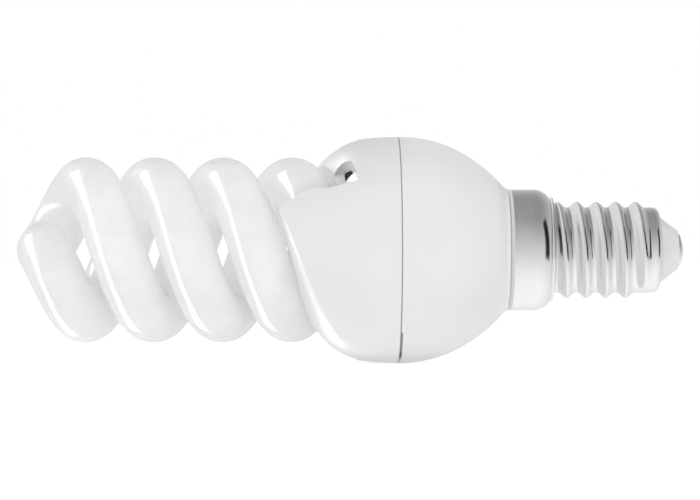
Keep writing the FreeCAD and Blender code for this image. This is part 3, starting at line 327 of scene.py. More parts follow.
def leaded(name, body, body_box, bands=(), **values):
    """Coated or moulded body with bare tinned leads.

    body is the body's two shades. body_box is its middle across (y, z), the radius of a room round it, and
    where it starts and ends along the lamp, in millimetres. bands are rings as start, end and colour.
    """
    material, tree, shader = new_material(name, **values)
    y, z, radius, first, last = body_box
    place = add_node(tree, "ShaderNodeTexCoord")
    axes = add_node(tree, "ShaderNodeSeparateXYZ", {0: place.outputs["Object"]})
    across = add_node(tree, "ShaderNodeVectorMath",
                      {0: place.outputs["Object"], 1: (0.0, 1.0, 1.0)}, operation="MULTIPLY")
    off = add_node(tree, "ShaderNodeVectorMath", {0: across, 1: (0.0, y * MM, z * MM)}, operation="DISTANCE")

    def between(low, high):
        """1 between two places along the lamp and 0 elsewhere."""
        above = add_node(tree, "ShaderNodeMath",
                         {0: axes.outputs["X"], 1: low * MM}, operation="GREATER_THAN")
        below = add_node(tree, "ShaderNodeMath", {0: axes.outputs["X"], 1: high * MM}, operation="LESS_THAN")
        return add_node(tree, "ShaderNodeMath", {0: above, 1: below}, operation="MULTIPLY")

    near = add_node(tree, "ShaderNodeMath", {0: off.outputs["Value"], 1: radius * MM}, operation="LESS_THAN")
    coated = add_node(tree, "ShaderNodeMath", {0: near, 1: between(first, last)}, operation="MULTIPLY")
    colour = mottle(tree, shader, linear(body[0]), linear(body[1]), scale_mm=0.8).outputs[2]
    for low, high, shade in bands:
        ring = add_node(tree, "ShaderNodeMix",
                        {"Factor": between(low, high), 6: colour, 7: linear(shade)}, data_type="RGBA")
        colour = ring.outputs[2]
    tin = linear("C3C4C5")
    both = add_node(tree, "ShaderNodeMix", {"Factor": coated, 6: tin, 7: colour}, data_type="RGBA")
    tree.links.new(both.outputs[2], shader.inputs["Base Color"])
    bare = add_node(tree, "ShaderNodeMath", {0: 1.0, 1: coated}, operation="SUBTRACT")
    tree.links.new(bare.outputs[0], shader.inputs["Metallic"])
    grain(tree, shader, scale_mm=0.15, height_mm=0.01, strength=0.5)
    return material


# Settings

class BulbTubeSettings(bpy.types.PropertyGroup):
    coil_radius: length_setting("Coil radius", "Lamp axis to the middle of the tube", 9.4)
    strand_pitch: length_setting("Strand pitch", "Advance of one strand in one turn", 19.75)
    tube_radius: length_setting("Tube radius", "Outside radius of the glass tube", 3.9)
    last_bump: length_setting("Last bump", "Origin to the strands half a turn before the cover", 31.0)
    half_turns: bpy.props.IntProperty(
        name="Outer half turns", description="Half turns from the crown to the last bump", default=3, min=1)
    crown_rise: length_setting("Crown rise", "Advance of the quarter turn at the nose", 5.9)
    crown_ease: angle_setting("Crown ease", "Turn over which the nose rounds off", 26)
    inner_turn: angle_setting("Inner turn", "Turn of each strand after its last bump", 100)
    pinch_length: length_setting("Pinch length", "Tapered sealed end of each strand", 3.4)
    pinch_radius: length_setting("Pinch radius", "Radius of the sealed end", 2.1)
    glass: colour_setting("Glass", "Colour of the coated tube", "EDEDED")
    shade: colour_setting("Glass shade", "Thinner patches of the coat", "E6E6E6")


class BulbHousingSettings(bpy.types.PropertyGroup):
    plastic: colour_setting("Plastic", "Colour of the housing", "ECECEC")
    plastic_shade: colour_setting("Plastic shade", "Second shade of the housing", "E8E8E8")
    # Colour of the painted shade in the groove where cover and base housing meet.
    seam: colour_setting("Seam", "Shade in the groove where cover and base housing meet", "A8A8A8")


class BulbCapSettings(bpy.types.PropertyGroup):
    skirt_radius: length_setting("Skirt radius", "Outside of the skirt", 8.7)
    skirt_length: length_setting("Skirt length", "Straight part of the skirt", 3.9)
    crest_radius: length_setting("Crest radius", "Thread's crest", 6.94)
    root_radius: length_setting("Root radius", "Thread's root", 6.14)
    pitch: length_setting("Thread pitch", "Nine turns to the inch", 2.822)
    thread_start: length_setting("Thread start", "Origin to the first crest, at the top", 7.2)
    thread_turns: bpy.props.FloatProperty(
        name="Turns", description="Turns of the thread", default=4.5, min=1.0)
    sheet: length_setting("Sheet", "Thickness of the metal", 0.3)
    shell_end: length_setting("Shell end", "Origin to the end of the metal", 21.9)
    mouth_radius: length_setting("Mouth radius", "Opening at the end of the metal", 4.9)


class BulbStageSettings(bpy.types.PropertyGroup):
    lens: bpy.props.FloatProperty(name="Lens", description="Focal length", default=200.0, unit="CAMERA")
    distance: length_setting("Camera distance", "Camera to the lamp's axis", 559.6)
    aim: bpy.props.FloatProperty(
        name="Aim", description="Place along the lamp at the middle of the picture", default=-22.6 * MM,
        unit="LENGTH", subtype="DISTANCE", precision=5)
    slant: angle_setting("Slant", "Turn of the view towards the glass", 1.6)
    floor: colour_setting("Floor", "Colour of the table", "F6F6F6")
    floor_glow: number_setting("Floor glow", "Glow of the table for the camera", 0.48)
    world_light: number_setting("World light", "Soft light from all round", 0.58)
    floor_lift: number_setting("Floor lift", "Glow of the table for other rays, under the lamp", 0.23)
    arc_glow: number_setting("Arc light", "Brightness of the curved light round the glass", 11.0)
    arc_width: length_setting("Arc width", "Width of the curved light", 150)
    box_power: number_setting("Soft box", "Broad lamp above the camera", 1.1, "POWER")
    side_power: number_setting("Side box", "Broad lamp beyond the cap", 0.4, "POWER")


# Pieces

# How finely the round forms are drawn.
TUBE_SIDES = 48
TUBE_SECTIONS = 480
SHELL_SIDES = 180
SHELL_STEPS = 150
WIRE_SIDES = 8
WIRE_STEPS = 48

# A power a little over 1 leaves the crest of a wave narrower than its root, as a rolled thread has it.
CREST_POWER = 1.25


def spiral_group():
    """Node group for a double spiral that is closed at the nose and tapers to a seal at each end."""
    group, source, result = new_group("double_spiral", [
        ("Coil radius", "NodeSocketFloat"), ("Slope", "NodeSocketFloat"), ("Tube radius", "NodeSocketFloat"),
        ("Nose place", "NodeSocketFloat"), ("Nose lift", "NodeSocketFloat"), ("Nose curl", "NodeSocketFloat"),
        ("Nose ease", "NodeSocketFloat"), ("Last turn", "NodeSocketFloat"), ("Seal turn", "NodeSocketFloat"),
        ("Seal share", "NodeSocketFloat"), ("Sections", "NodeSocketInt"), ("Material", "NodeSocketMaterial")])
    given = source.outputs
    line = add_node(group, "GeometryNodeMeshLine", {"Count": given["Sections"]})
    index = add_node(group, "GeometryNodeInputIndex")
    last_index = add_node(group, "ShaderNodeMath", {0: given["Sections"], 1: 1.0}, operation="SUBTRACT")
    share = add_node(group, "ShaderNodeMath", {0: index, 1: last_index}, operation="DIVIDE")
    whole = add_node(group, "ShaderNodeMath", {0: given["Last turn"], 1: given["Seal turn"]}, operation="ADD")
    other_end = add_node(group, "ShaderNodeMath", {0: whole, 1: -1.0}, operation="MULTIPLY")
    turn = add_node(group, "ShaderNodeMapRange", {"Value": share, "To Min": other_end, "To Max": whole})
    side = add_node(group, "ShaderNodeMath", {0: turn}, operation="SIGN")
    size = add_node(group, "ShaderNodeMath", {0: turn}, operation="ABSOLUTE")
    # Along the coil up to the last turn, and straight on along its tangent in the seal.
    coiled = add_node(group, "ShaderNodeMath", {0: size, 1: given["Last turn"]}, operation="MINIMUM")
    sealed = add_node(group, "ShaderNodeMath", {0: size, 1: coiled}, operation="SUBTRACT")
    crown = add_node(group, "ShaderNodeMath", {0: coiled, 1: math.pi / 2}, operation="MINIMUM")
    beyond = add_node(group, "ShaderNodeMath", {0: size, 1: crown}, operation="SUBTRACT")
    # Advance: lift * (hypot(crown, ease) - ease) + curl * crown ^ 4 + slope * beyond.
    crown_square = add_node(group, "ShaderNodeMath", {0: crown, 1: crown}, operation="MULTIPLY")
    ease_square = add_node(group, "ShaderNodeMath", {0: given["Nose ease"], 1: 2.0}, operation="POWER")
    squares = add_node(group, "ShaderNodeMath", {0: crown_square, 1: ease_square}, operation="ADD")
    slanted = add_node(group, "ShaderNodeMath", {0: squares}, operation="SQRT")
    eased = add_node(group, "ShaderNodeMath", {0: slanted, 1: given["Nose ease"]}, operation="SUBTRACT")
    lifted = add_node(group, "ShaderNodeMath", {0: eased, 1: given["Nose lift"], 2: given["Nose place"]},
                      operation="MULTIPLY_ADD")
    fourth = add_node(group, "ShaderNodeMath", {0: crown_square, 1: crown_square}, operation="MULTIPLY")
    curled = add_node(group, "ShaderNodeMath", {0: fourth, 1: given["Nose curl"], 2: lifted},
                      operation="MULTIPLY_ADD")
    along = add_node(group, "ShaderNodeMath", {0: beyond, 1: given["Slope"], 2: curled},
                     operation="MULTIPLY_ADD")
    # Across: the crown's radius grows as the sine of its turn.
    crown_sine = add_node(group, "ShaderNodeMath", {0: crown}, operation="SINE")
    radius = add_node(group, "ShaderNodeMath", {0: crown_sine, 1: given["Coil radius"]}, operation="MULTIPLY")
    reach = add_node(group, "ShaderNodeMath", {0: radius, 1: side}, operation="MULTIPLY")
    cosine = add_node(group, "ShaderNodeMath", {0: coiled}, operation="COSINE")
    sine = add_node(group, "ShaderNodeMath", {0: coiled}, operation="SINE")
    ahead_sine = add_node(group, "ShaderNodeMath", {0: sealed, 1: sine}, operation="MULTIPLY")
    ahead_cosine = add_node(group, "ShaderNodeMath", {0: sealed, 1: cosine}, operation="MULTIPLY")
    across = add_node(group, "ShaderNodeMath", {0: ahead_sine, 1: cosine}, operation="SUBTRACT")
    upward = add_node(group, "ShaderNodeMath", {0: ahead_cosine, 1: sine}, operation="ADD")
    y = add_node(group, "ShaderNodeMath", {0: reach, 1: across}, operation="MULTIPLY")
    minus = add_node(group, "ShaderNodeMath", {0: reach, 1: -1.0}, operation="MULTIPLY")
    z = add_node(group, "ShaderNodeMath", {0: minus, 1: upward}, operation="MULTIPLY")
    place = add_node(group, "ShaderNodeCombineXYZ", {"X": along, "Y": y, "Z": z})
    put = add_node(group, "GeometryNodeSetPosition", {"Geometry": line, "Position": place})
    path = add_node(group, "GeometryNodeMeshToCurve", {"Mesh": put})
    narrow = add_node(group, "ShaderNodeMapRange", {
        "Value": sealed, "From Min": 0.0, "From Max": given["Seal turn"], "To Min": 1.0,
        "To Max": given["Seal share"]}, interpolation_type="SMOOTHSTEP")
    section = add_node(group, "GeometryNodeCurvePrimitiveCircle",
                       {"Resolution": TUBE_SIDES, "Radius": given["Tube radius"]})
    # The scale belongs to the path's points, so it is stored on them before the sweep.
    held = add_node(group, "GeometryNodeSetCurveRadius", {"Curve": path, "Radius": narrow})
    width = add_node(group, "GeometryNodeInputRadius")
    tube = add_node(group, "GeometryNodeCurveToMesh", {
        "Curve": held, "Profile Curve": section, "Scale": width, "Fill Caps": True})
    real = add_node(group, "GeometryNodeRealizeInstances", {"Geometry": tube})
    smooth = add_node(group, "GeometryNodeSetShadeSmooth", {"Geometry": real})
    coated = add_node(group, "GeometryNodeSetMaterial", {"Geometry": smooth, "Material": given["Material"]})
    group.links.new(coated.outputs["Geometry"], result.inputs["Geometry"])
    return group


class BULB_OT_spiral_tube(bpy.types.Operator):
    """Winds the coated glass tube as a double spiral"""
    bl_idname = "bulb.spiral_tube"
    bl_label = "Spiral tube"

    def execute(self, context):
        tube = context.scene.bulb_tube
        quarter = math.pi / 2
        slope = tube.strand_pitch / (2 * math.pi)
        nose = -tube.last_bump - tube.half_turns * tube.strand_pitch / 2 - tube.crown_rise
        # The nose meets the coil with the crown's rise and the coil's slope.
        reach = math.hypot(quarter, tube.crown_ease) - tube.crown_ease
        lean = quarter / math.hypot(quarter, tube.crown_ease)
        curl = (slope - lean * tube.crown_rise / reach) / (4 * quarter**3 - lean * quarter**4 / reach)
        lift = (tube.crown_rise - curl * quarter**4) / reach
        piece = grown("glass_spiral", bpy.data.meshes.new("spiral_seed"), spiral_group(), {
            "Coil radius": tube.coil_radius, "Slope": slope, "Tube radius": tube.tube_radius,
            "Nose place": nose, "Nose lift": lift, "Nose curl": curl, "Nose ease": tube.crown_ease,
            "Last turn": quarter + tube.half_turns * math.pi + tube.inner_turn,
            "Seal turn": tube.pinch_length / math.hypot(tube.coil_radius, slope),
            "Seal share": tube.pinch_radius / tube.tube_radius,
            "Sections": TUBE_SECTIONS, "Material": coated_glass(tube)})
        stand_for(piece, "coated_glass", "spiral_tube")
        # The coated tube is translucent: soft light from all round passes it and fills the gaps between
        # the strands.
        piece.visible_diffuse = False
        return {"FINISHED"}


class BULB_OT_housing(bpy.types.Operator):
    """Finishes the cover that holds the glass, the base housing and the cement round the strands"""
    bl_idname = "bulb.housing"
    bl_label = "Housing"

    def execute(self, context):
        housing = context.scene.bulb_housing
        white = moulded_pbt("moulded_pbt", housing.plastic_shade, housing.plastic, housing.seam,
                            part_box("tube_cover")[1].x)
        finish_node("tube_cover", white)
        finish_node("base_housing", white)
        # Capping cement: a set paste, chalk white and dull, with coarse pores.
        finish_node("tube_cement", plain_finish(
            "capping_cement", "EDEDEB", "F4F4F3", 0.8, 0.25, 0.05, Roughness=0.9))
        return {"FINISHED"}


def thread_group():
    """Node group that rolls a screw thread into a turned shell and gives the shell its material."""
    group, source, result = new_group("rolled_thread", [
        ("Height", "NodeSocketFloat"), ("Pitch", "NodeSocketFloat"), ("Start", "NodeSocketFloat"),
        ("Turns", "NodeSocketFloat"), ("Run in", "NodeSocketFloat"), ("Material", "NodeSocketMaterial")])
    given = source.outputs
    place = add_node(group, "GeometryNodeInputPosition")
    axes = add_node(group, "ShaderNodeSeparateXYZ", {0: place})
    front = add_node(group, "ShaderNodeMath", {0: axes.outputs["Y"], 1: -1.0}, operation="MULTIPLY")
    angle = add_node(group, "ShaderNodeMath", {0: front, 1: axes.outputs["Z"]}, operation="ARCTAN2")
    around = add_node(group, "ShaderNodeMath", {0: angle, 1: 2 * math.pi}, operation="DIVIDE")
    part = add_node(group, "ShaderNodeMath", {0: around}, operation="FRACT")
    along = add_node(group, "ShaderNodeMath", {0: axes.outputs["X"], 1: given["Start"]}, operation="SUBTRACT")
    pitches = add_node(group, "ShaderNodeMath", {0: along, 1: given["Pitch"]}, operation="DIVIDE")
    phase = add_node(group, "ShaderNodeMath", {0: pitches, 1: part}, operation="SUBTRACT")
    crest = add_node(group, "ShaderNodeMath", {0: phase}, operation="ROUND")
    off = add_node(group, "ShaderNodeMath", {0: phase, 1: crest}, operation="SUBTRACT")
    swing = add_node(group, "ShaderNodeMath", {0: off, 1: 2 * math.pi}, operation="MULTIPLY")
    wave = add_node(group, "ShaderNodeMath", {0: swing}, operation="COSINE")
    round_wave = add_node(group, "ShaderNodeMapRange", {"Value": wave, "From Min": -1.0, "From Max": 1.0})
    narrow = add_node(group, "ShaderNodeMath", {0: round_wave, 1: CREST_POWER}, operation="POWER")
    turn = add_node(group, "ShaderNodeMath", {0: crest, 1: part}, operation="ADD")
    before = add_node(group, "ShaderNodeMath", {0: given["Run in"], 1: -1.0}, operation="MULTIPLY")
    entry = add_node(group, "ShaderNodeMapRange", {
        "Value": turn, "From Min": before, "From Max": 0.0}, interpolation_type="SMOOTHSTEP")
    left = add_node(group, "ShaderNodeMath", {0: given["Turns"], 1: turn}, operation="SUBTRACT")
    ending = add_node(group, "ShaderNodeMapRange", {
        "Value": left, "From Min": 0.0, "From Max": given["Run in"]}, interpolation_type="SMOOTHSTEP")
    both = add_node(group, "ShaderNodeMath", {0: entry, 1: ending}, operation="MULTIPLY")
    height = add_node(group, "ShaderNodeMath", {0: both, 1: given["Height"]}, operation="MULTIPLY")
    raised = add_node(group, "ShaderNodeMath", {0: height, 1: narrow}, operation="MULTIPLY")
    spoke = add_node(group, "ShaderNodeCombineXYZ", {"Y": axes.outputs["Y"], "Z": axes.outputs["Z"]})
    outward = add_node(group, "ShaderNodeVectorMath", {0: spoke}, operation="NORMALIZE")
    offset = add_node(group, "ShaderNodeVectorMath", {0: outward, "Scale": raised}, operation="SCALE")
    rolled = add_node(group, "GeometryNodeSetPosition", {"Geometry": given["Geometry"], "Offset": offset})
    real = add_node(group, "GeometryNodeRealizeInstances", {"Geometry": rolled})
    smooth = add_node(group, "GeometryNodeSetShadeSmooth", {"Geometry": real})
    plated = add_node(group, "GeometryNodeSetMaterial", {"Geometry": smooth, "Material": given["Material"]})
    group.links.new(plated.outputs["Geometry"], result.inputs["Geometry"])
    return group


class BULB_OT_screw_cap(bpy.types.Operator):
    """Rolls the threaded shell of the cap, and finishes its insulator, contact and solder"""
    bl_idname = "bulb.screw_cap"
    bl_label = "Screw cap"

    def execute(self, context):
        cap = context.scene.bulb_cap
        skirt, root = cap.skirt_radius, cap.root_radius
        start = cap.skirt_length
        skirt_steps = 6
        outline = [(start * n / skirt_steps, skirt) for n in range(skirt_steps)]
        # Rounded shoulder, a groove, the bead and a second groove between the skirt and the thread.
        shoulder = 3.0 * MM
        outline += arc_points((start - 0.25 * MM, skirt - 2.99 * MM), shoulder, 85, 39, 14)
        outline += [(start + 2.13 * MM, root + 1.22 * MM), (start + 2.2 * MM, root + 1.2 * MM)]
        bead = 0.3 * MM
        outline += arc_points((start + 2.36 * MM, root + 0.92 * MM), bead, 110, -20, 8)
        outline += [(start + 2.72 * MM, root + 0.3 * MM), (start + 2.8 * MM, root + 0.08 * MM)]
        # The sheet that the thread is rolled into, and the rim turned in over the insulator.
        flat_start = start + 2.9 * MM
        flat_end = cap.shell_end - 1.1 * MM
        outline += [(flat_start + (flat_end - flat_start) * n / SHELL_STEPS, root)
                    for n in range(SHELL_STEPS + 1)]
        rim = 1.0 * MM
        outline += arc_points((cap.shell_end - rim, root - rim), rim, 84, 6, 12)
        outline += [(cap.shell_end, cap.mouth_radius + 0.1 * MM), (cap.shell_end, cap.mouth_radius)]
        # The thread rises, and falls again, over this share of a turn.
        run_in = 0.3
        piece = grown("screw_shell", turned_mesh("shell_seed", outline, SHELL_SIDES), thread_group(), {
            "Height": cap.crest_radius - root, "Pitch": cap.pitch, "Start": cap.thread_start,
            "Turns": cap.thread_turns, "Run in": run_in, "Material": nickel_plate()})
        sheet = piece.modifiers.new("sheet", "SOLIDIFY")
        sheet.thickness = cap.sheet
        sheet.offset = -1.0
        stand_for(piece, "nickel", "cap_shell")
        # Urea: moulded, pale grey, with the soft gloss of its mould.
        finish_node("cap_insulator", plain_finish(
            "pale_grey_urea", "E0E0E0", "E7E7E7", 6.0, 0.3, 0.006, Roughness=0.3, IOR=1.55))
        # Tinned brass: stamped sheet, whitish metal that stays a little warm.
        finish_node("centre_contact", plain_finish(
            "tinned_brass", "DEDBD2", "E8E6E0", 1.5, 0.2, 0.01, Metallic=1.0, Roughness=0.34))
        # Tin solder: a drop that set in the air, pale metal, dulled and slightly uneven.
        finish_node("contact_solder", plain_finish(
            "tin_solder", "DCDDDE", "EAEBEB", 0.8, 0.4, 0.03, Metallic=1.0, Roughness=0.38))
        return {"FINISHED"}


def winding_group():
    """Node group that winds one close layer of wire on a section that is round or a rounded square."""
    group, source, result = new_group("wound_wire", [
        ("Start", "NodeSocketFloat"), ("Length", "NodeSocketFloat"), ("Turns", "NodeSocketInt"),
        ("Steps", "NodeSocketInt"), ("Half width", "NodeSocketFloat"), ("Half height", "NodeSocketFloat"),
        ("Corner", "NodeSocketFloat"), ("Middle", "NodeSocketVector"), ("Wire radius", "NodeSocketFloat"),
        ("Material", "NodeSocketMaterial")])
    given = source.outputs
    count = add_node(group, "ShaderNodeMath", {0: given["Turns"], 1: given["Steps"]}, operation="MULTIPLY")
    ends = add_node(group, "ShaderNodeMath", {0: count, 1: 1.0}, operation="ADD")
    line = add_node(group, "GeometryNodeMeshLine", {"Count": ends})
    index = add_node(group, "GeometryNodeInputIndex")
    share = add_node(group, "ShaderNodeMath", {0: index, 1: count}, operation="DIVIDE")
    along = add_node(group, "ShaderNodeMath", {0: share, 1: given["Length"], 2: given["Start"]},
                     operation="MULTIPLY_ADD")
    turn = add_node(group, "ShaderNodeMath", {0: index, 1: given["Steps"]}, operation="DIVIDE")
    angle = add_node(group, "ShaderNodeMath", {0: turn, 1: 2 * math.pi}, operation="MULTIPLY")
    sides = []
    # A power below 1 on sine and cosine squares the round section up.
    for wave, half in (("COSINE", given["Half width"]), ("SINE", given["Half height"])):
        swing = add_node(group, "ShaderNodeMath", {0: angle}, operation=wave)
        size = add_node(group, "ShaderNodeMath", {0: swing}, operation="ABSOLUTE")
        squared = add_node(group, "ShaderNodeMath", {0: size, 1: given["Corner"]}, operation="POWER")
        way = add_node(group, "ShaderNodeMath", {0: swing}, operation="SIGN")
        signed = add_node(group, "ShaderNodeMath", {0: squared, 1: way}, operation="MULTIPLY")
        sides.append(add_node(group, "ShaderNodeMath", {0: signed, 1: half}, operation="MULTIPLY"))
    place = add_node(group, "ShaderNodeCombineXYZ", {"X": along, "Y": sides[0], "Z": sides[1]})
    moved = add_node(group, "ShaderNodeVectorMath", {0: place, 1: given["Middle"]}, operation="ADD")
    put = add_node(group, "GeometryNodeSetPosition", {"Geometry": line, "Position": moved})
    path = add_node(group, "GeometryNodeMeshToCurve", {"Mesh": put})
    section = add_node(group, "GeometryNodeCurvePrimitiveCircle",
                       {"Resolution": WIRE_SIDES, "Radius": given["Wire radius"]})
    wire = add_node(group, "GeometryNodeCurveToMesh",
                    {"Curve": path, "Profile Curve": section, "Fill Caps": True})
    real = add_node(group, "GeometryNodeRealizeInstances", {"Geometry": wire})
    smooth = add_node(group, "GeometryNodeSetShadeSmooth", {"Geometry": real})
    coated = add_node(group, "GeometryNodeSetMaterial", {"Geometry": smooth, "Material": given["Material"]})
    group.links.new(coated.outputs["Geometry"], result.inputs["Geometry"])
    return group


class BULB_OT_windings(bpy.types.Operator):
    """Winds enamelled copper on the choke and the filter inductor, and finishes the drive ring's turns"""
    bl_idname = "bulb.windings"
    bl_label = "Windings"

    def execute(self, context):
        # Enamelled copper: drawn wire under a clear coat, red-brown metal with the gloss of lacquer.
        copper = plain_finish("enamelled_copper", "8A3E1C", "A8552A", 0.6, 0.12, 0.006, Metallic=0.9,
                              Roughness=0.28, Coat_Weight=0.6, Coat_Roughness=0.1)
        group = winding_group()
        # Each has its wire's radius, and the power that squares its section up: 1 is round, less is squarer.
        for name, node, radius_mm, corner in (
            ("choke_turns", "choke_winding", 0.15, 0.32),
            ("filter_turns", "filter_winding", 0.2, 1.0),
        ):
            low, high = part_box(node)
            wire = radius_mm * MM
            length = high.x - low.x
            piece = grown(name, bpy.data.meshes.new(name + "_seed"), group, {
                "Start": low.x + wire, "Length": length - 2 * wire,
                "Turns": round((length - 2 * wire) / (2 * wire)), "Steps": WIRE_STEPS,
                "Half width": (high.y - low.y) / 2 - wire, "Half height": (high.z - low.z) / 2 - wire,
                "Corner": corner, "Middle": (0.0, (low.y + high.y) / 2, (low.z + high.z) / 2),
                "Wire radius": wire, "Material": copper})
            stand_for(piece, "enamelled_copper", node)
        finish_node("drive_windings", copper)
        return {"FINISHED"}


class BULB_OT_ballast(bpy.types.Operator):
    """Finishes the circuit board and everything that stands on it"""
    bl_idname = "bulb.ballast"
    bl_label = "Ballast"

    def execute(self, context):
        face = BOARD_FACE / MM
        # Tin on copper wire: dull silver, with the soft waves of the dip.
        tinned = plain_finish("tinned_wire", "B9BABB", "CFCFD0", 0.6, 0.1, 0.004, Metallic=1.0, Roughness=0.3)
        # Sintered ferrite: dark matt grey with the fine pits of pressed powder.
        ferrite = plain_finish("sintered_ferrite", "2A2A2C", "38383A", 0.9, 0.15, 0.02, Roughness=0.6)
        # Nylon: moulded black, half gloss.
        nylon = plain_finish("black_nylon", "141414", "1E1E1E", 2.0, 0.2, 0.008, Roughness=0.42)
        # Reflowed tin: bright, with a slight orange peel where it cooled.
        solder = plain_finish("tin_solder_joint", "B4B5B6", "D0D0D1", 0.5, 0.25, 0.03,
                              Metallic=1.0, Roughness=0.26)
        # PVC insulation: drawn round its wire, smooth, with a soft gloss.
        red = plain_finish("red_pvc", "9E1512", "AE1C18", 2.0, 0.3, 0.005, Roughness=0.4)
        dark = plain_finish("black_pvc", "121212", "1B1B1B", 2.0, 0.3, 0.005, Roughness=0.4)
        finishes = {
            "choke_core_front": ferrite, "choke_core_rear": ferrite, "choke_bobbin": nylon,
            "choke_base": nylon, "drive_ring": ferrite, "filter_inductor": ferrite, "live_wire": red,
            "neutral_wire": dark, "solder_joints": solder, "circuit_board": laminate(),
        }
        for number in range(1, 5):
            finishes[f"wrap_pin_{number}"] = tinned
            finishes[f"tube_lead_{number}"] = tinned
        # Shrink sleeve: smooth dark PVC with a paler ring near the leads, and the bare metal of the far end.
        crimp = (face + 12.3, face + 12.6, "3A4058")
        finishes["smoothing_capacitor"] = leaded(
            "pvc_sleeve", ("161B2C", "1D2338"), (0, 0.4, 5.0, face + 12, face + 24.9), (crimp,),
            Roughness=0.3)
        lacquered = ("BFA276", "CDB187")
        # Carbon film resistors: dipped beige lacquer, half gloss, with the four rings of their code.
        codes = (("6B3A1E", "101010", "D96A1E", "B98C2C"), ("C23A24", "C23A24", "6B3A1E", "B98C2C"),
                 ("6B3A1E", "3C8A3E", "101010", "B98C2C"), ("E0B020", "5A2E86", "C23A24", "B98C2C"))
        feet = ((-7.0, -9.0), (-3.2, 0.6), (3.6, 0.7), (-4.4, 10.2))
        for number, ((y, z), code) in enumerate(zip(feet, codes), start=1):
            rings = [(face + 1.0 + 0.85 * n, face + 1.4 + 0.85 * n, shade) for n, shade in enumerate(code)]
            finishes[f"resistor_{number}"] = leaded(
                f"resistor_lacquer_{number}", lacquered, (y, z, 1.1, face + 0.5, face + 4.7), rings,
                Roughness=0.45)
        epoxy = ("101011", "1A1A1B")
        # Rectifier diodes: black moulded epoxy, dull, with a silver ring at the cathode.
        for number, (y, z) in enumerate(((6.9, 9.0), (6.9, 5.9), (10, 6), (6.9, 2.8)), start=1):
            finishes[f"rectifier_diode_{number}"] = leaded(
                f"diode_epoxy_{number}", epoxy, (y, z, 1.45, face + 0.5, face + 5.7),
                ((face + 4.4, face + 5.1, "C9C9CA"),), Roughness=0.5)
        # Trigger diode: a small sealed glass case, red-brown and glossy, with a blue ring.
        finishes["trigger_diode"] = leaded(
            "diode_glass", ("9C4A2E", "B05A3A"), (-11.0, 0.2, 1.0, face + 0.5, face + 4.3),
            ((face + 1.6, face + 2.0, "2C4A9C"),), Roughness=0.1)
        # Transistors: the same dull epoxy, moulded round their legs.
        for node, y, z in (("transistor_1", 9.6, -1.6), ("transistor_2", 7.9, -6.9)):
            finishes[node] = leaded(node + "_epoxy", epoxy, (y, z, 5.0, face + 3.0, face + 8.0),
                                    Roughness=0.5)
        # Dipped film capacitors: a glossy red-brown coat that runs a little way down the leads.
        for node, y, z in (("resonant_capacitor", 1.4, 9.6), ("coupling_capacitor", 1.4, 5.0)):
            finishes[node] = leaded(node + "_coat", ("7A2412", "8E2F18"), (y, z, 6.0, face + 0.3, face + 8.0),
                                    Roughness=0.22)
        # Fuse resistor: dipped green lacquer, half gloss, with two rings. Its places count from the origin.
        fuse_rings = ((13.6, 14.2, "101010"), (16.4, 17.0, "B98C2C"))
        finishes["fuse_resistor"] = leaded(
            "fuse_lacquer", ("3E7A4A", "4A8A56"), (0, 0, 2.0, 12.2, 18.3), fuse_rings, Roughness=0.45)
        for node, material in finishes.items():
            finish_node(node, material)
        return {"FINISHED"}


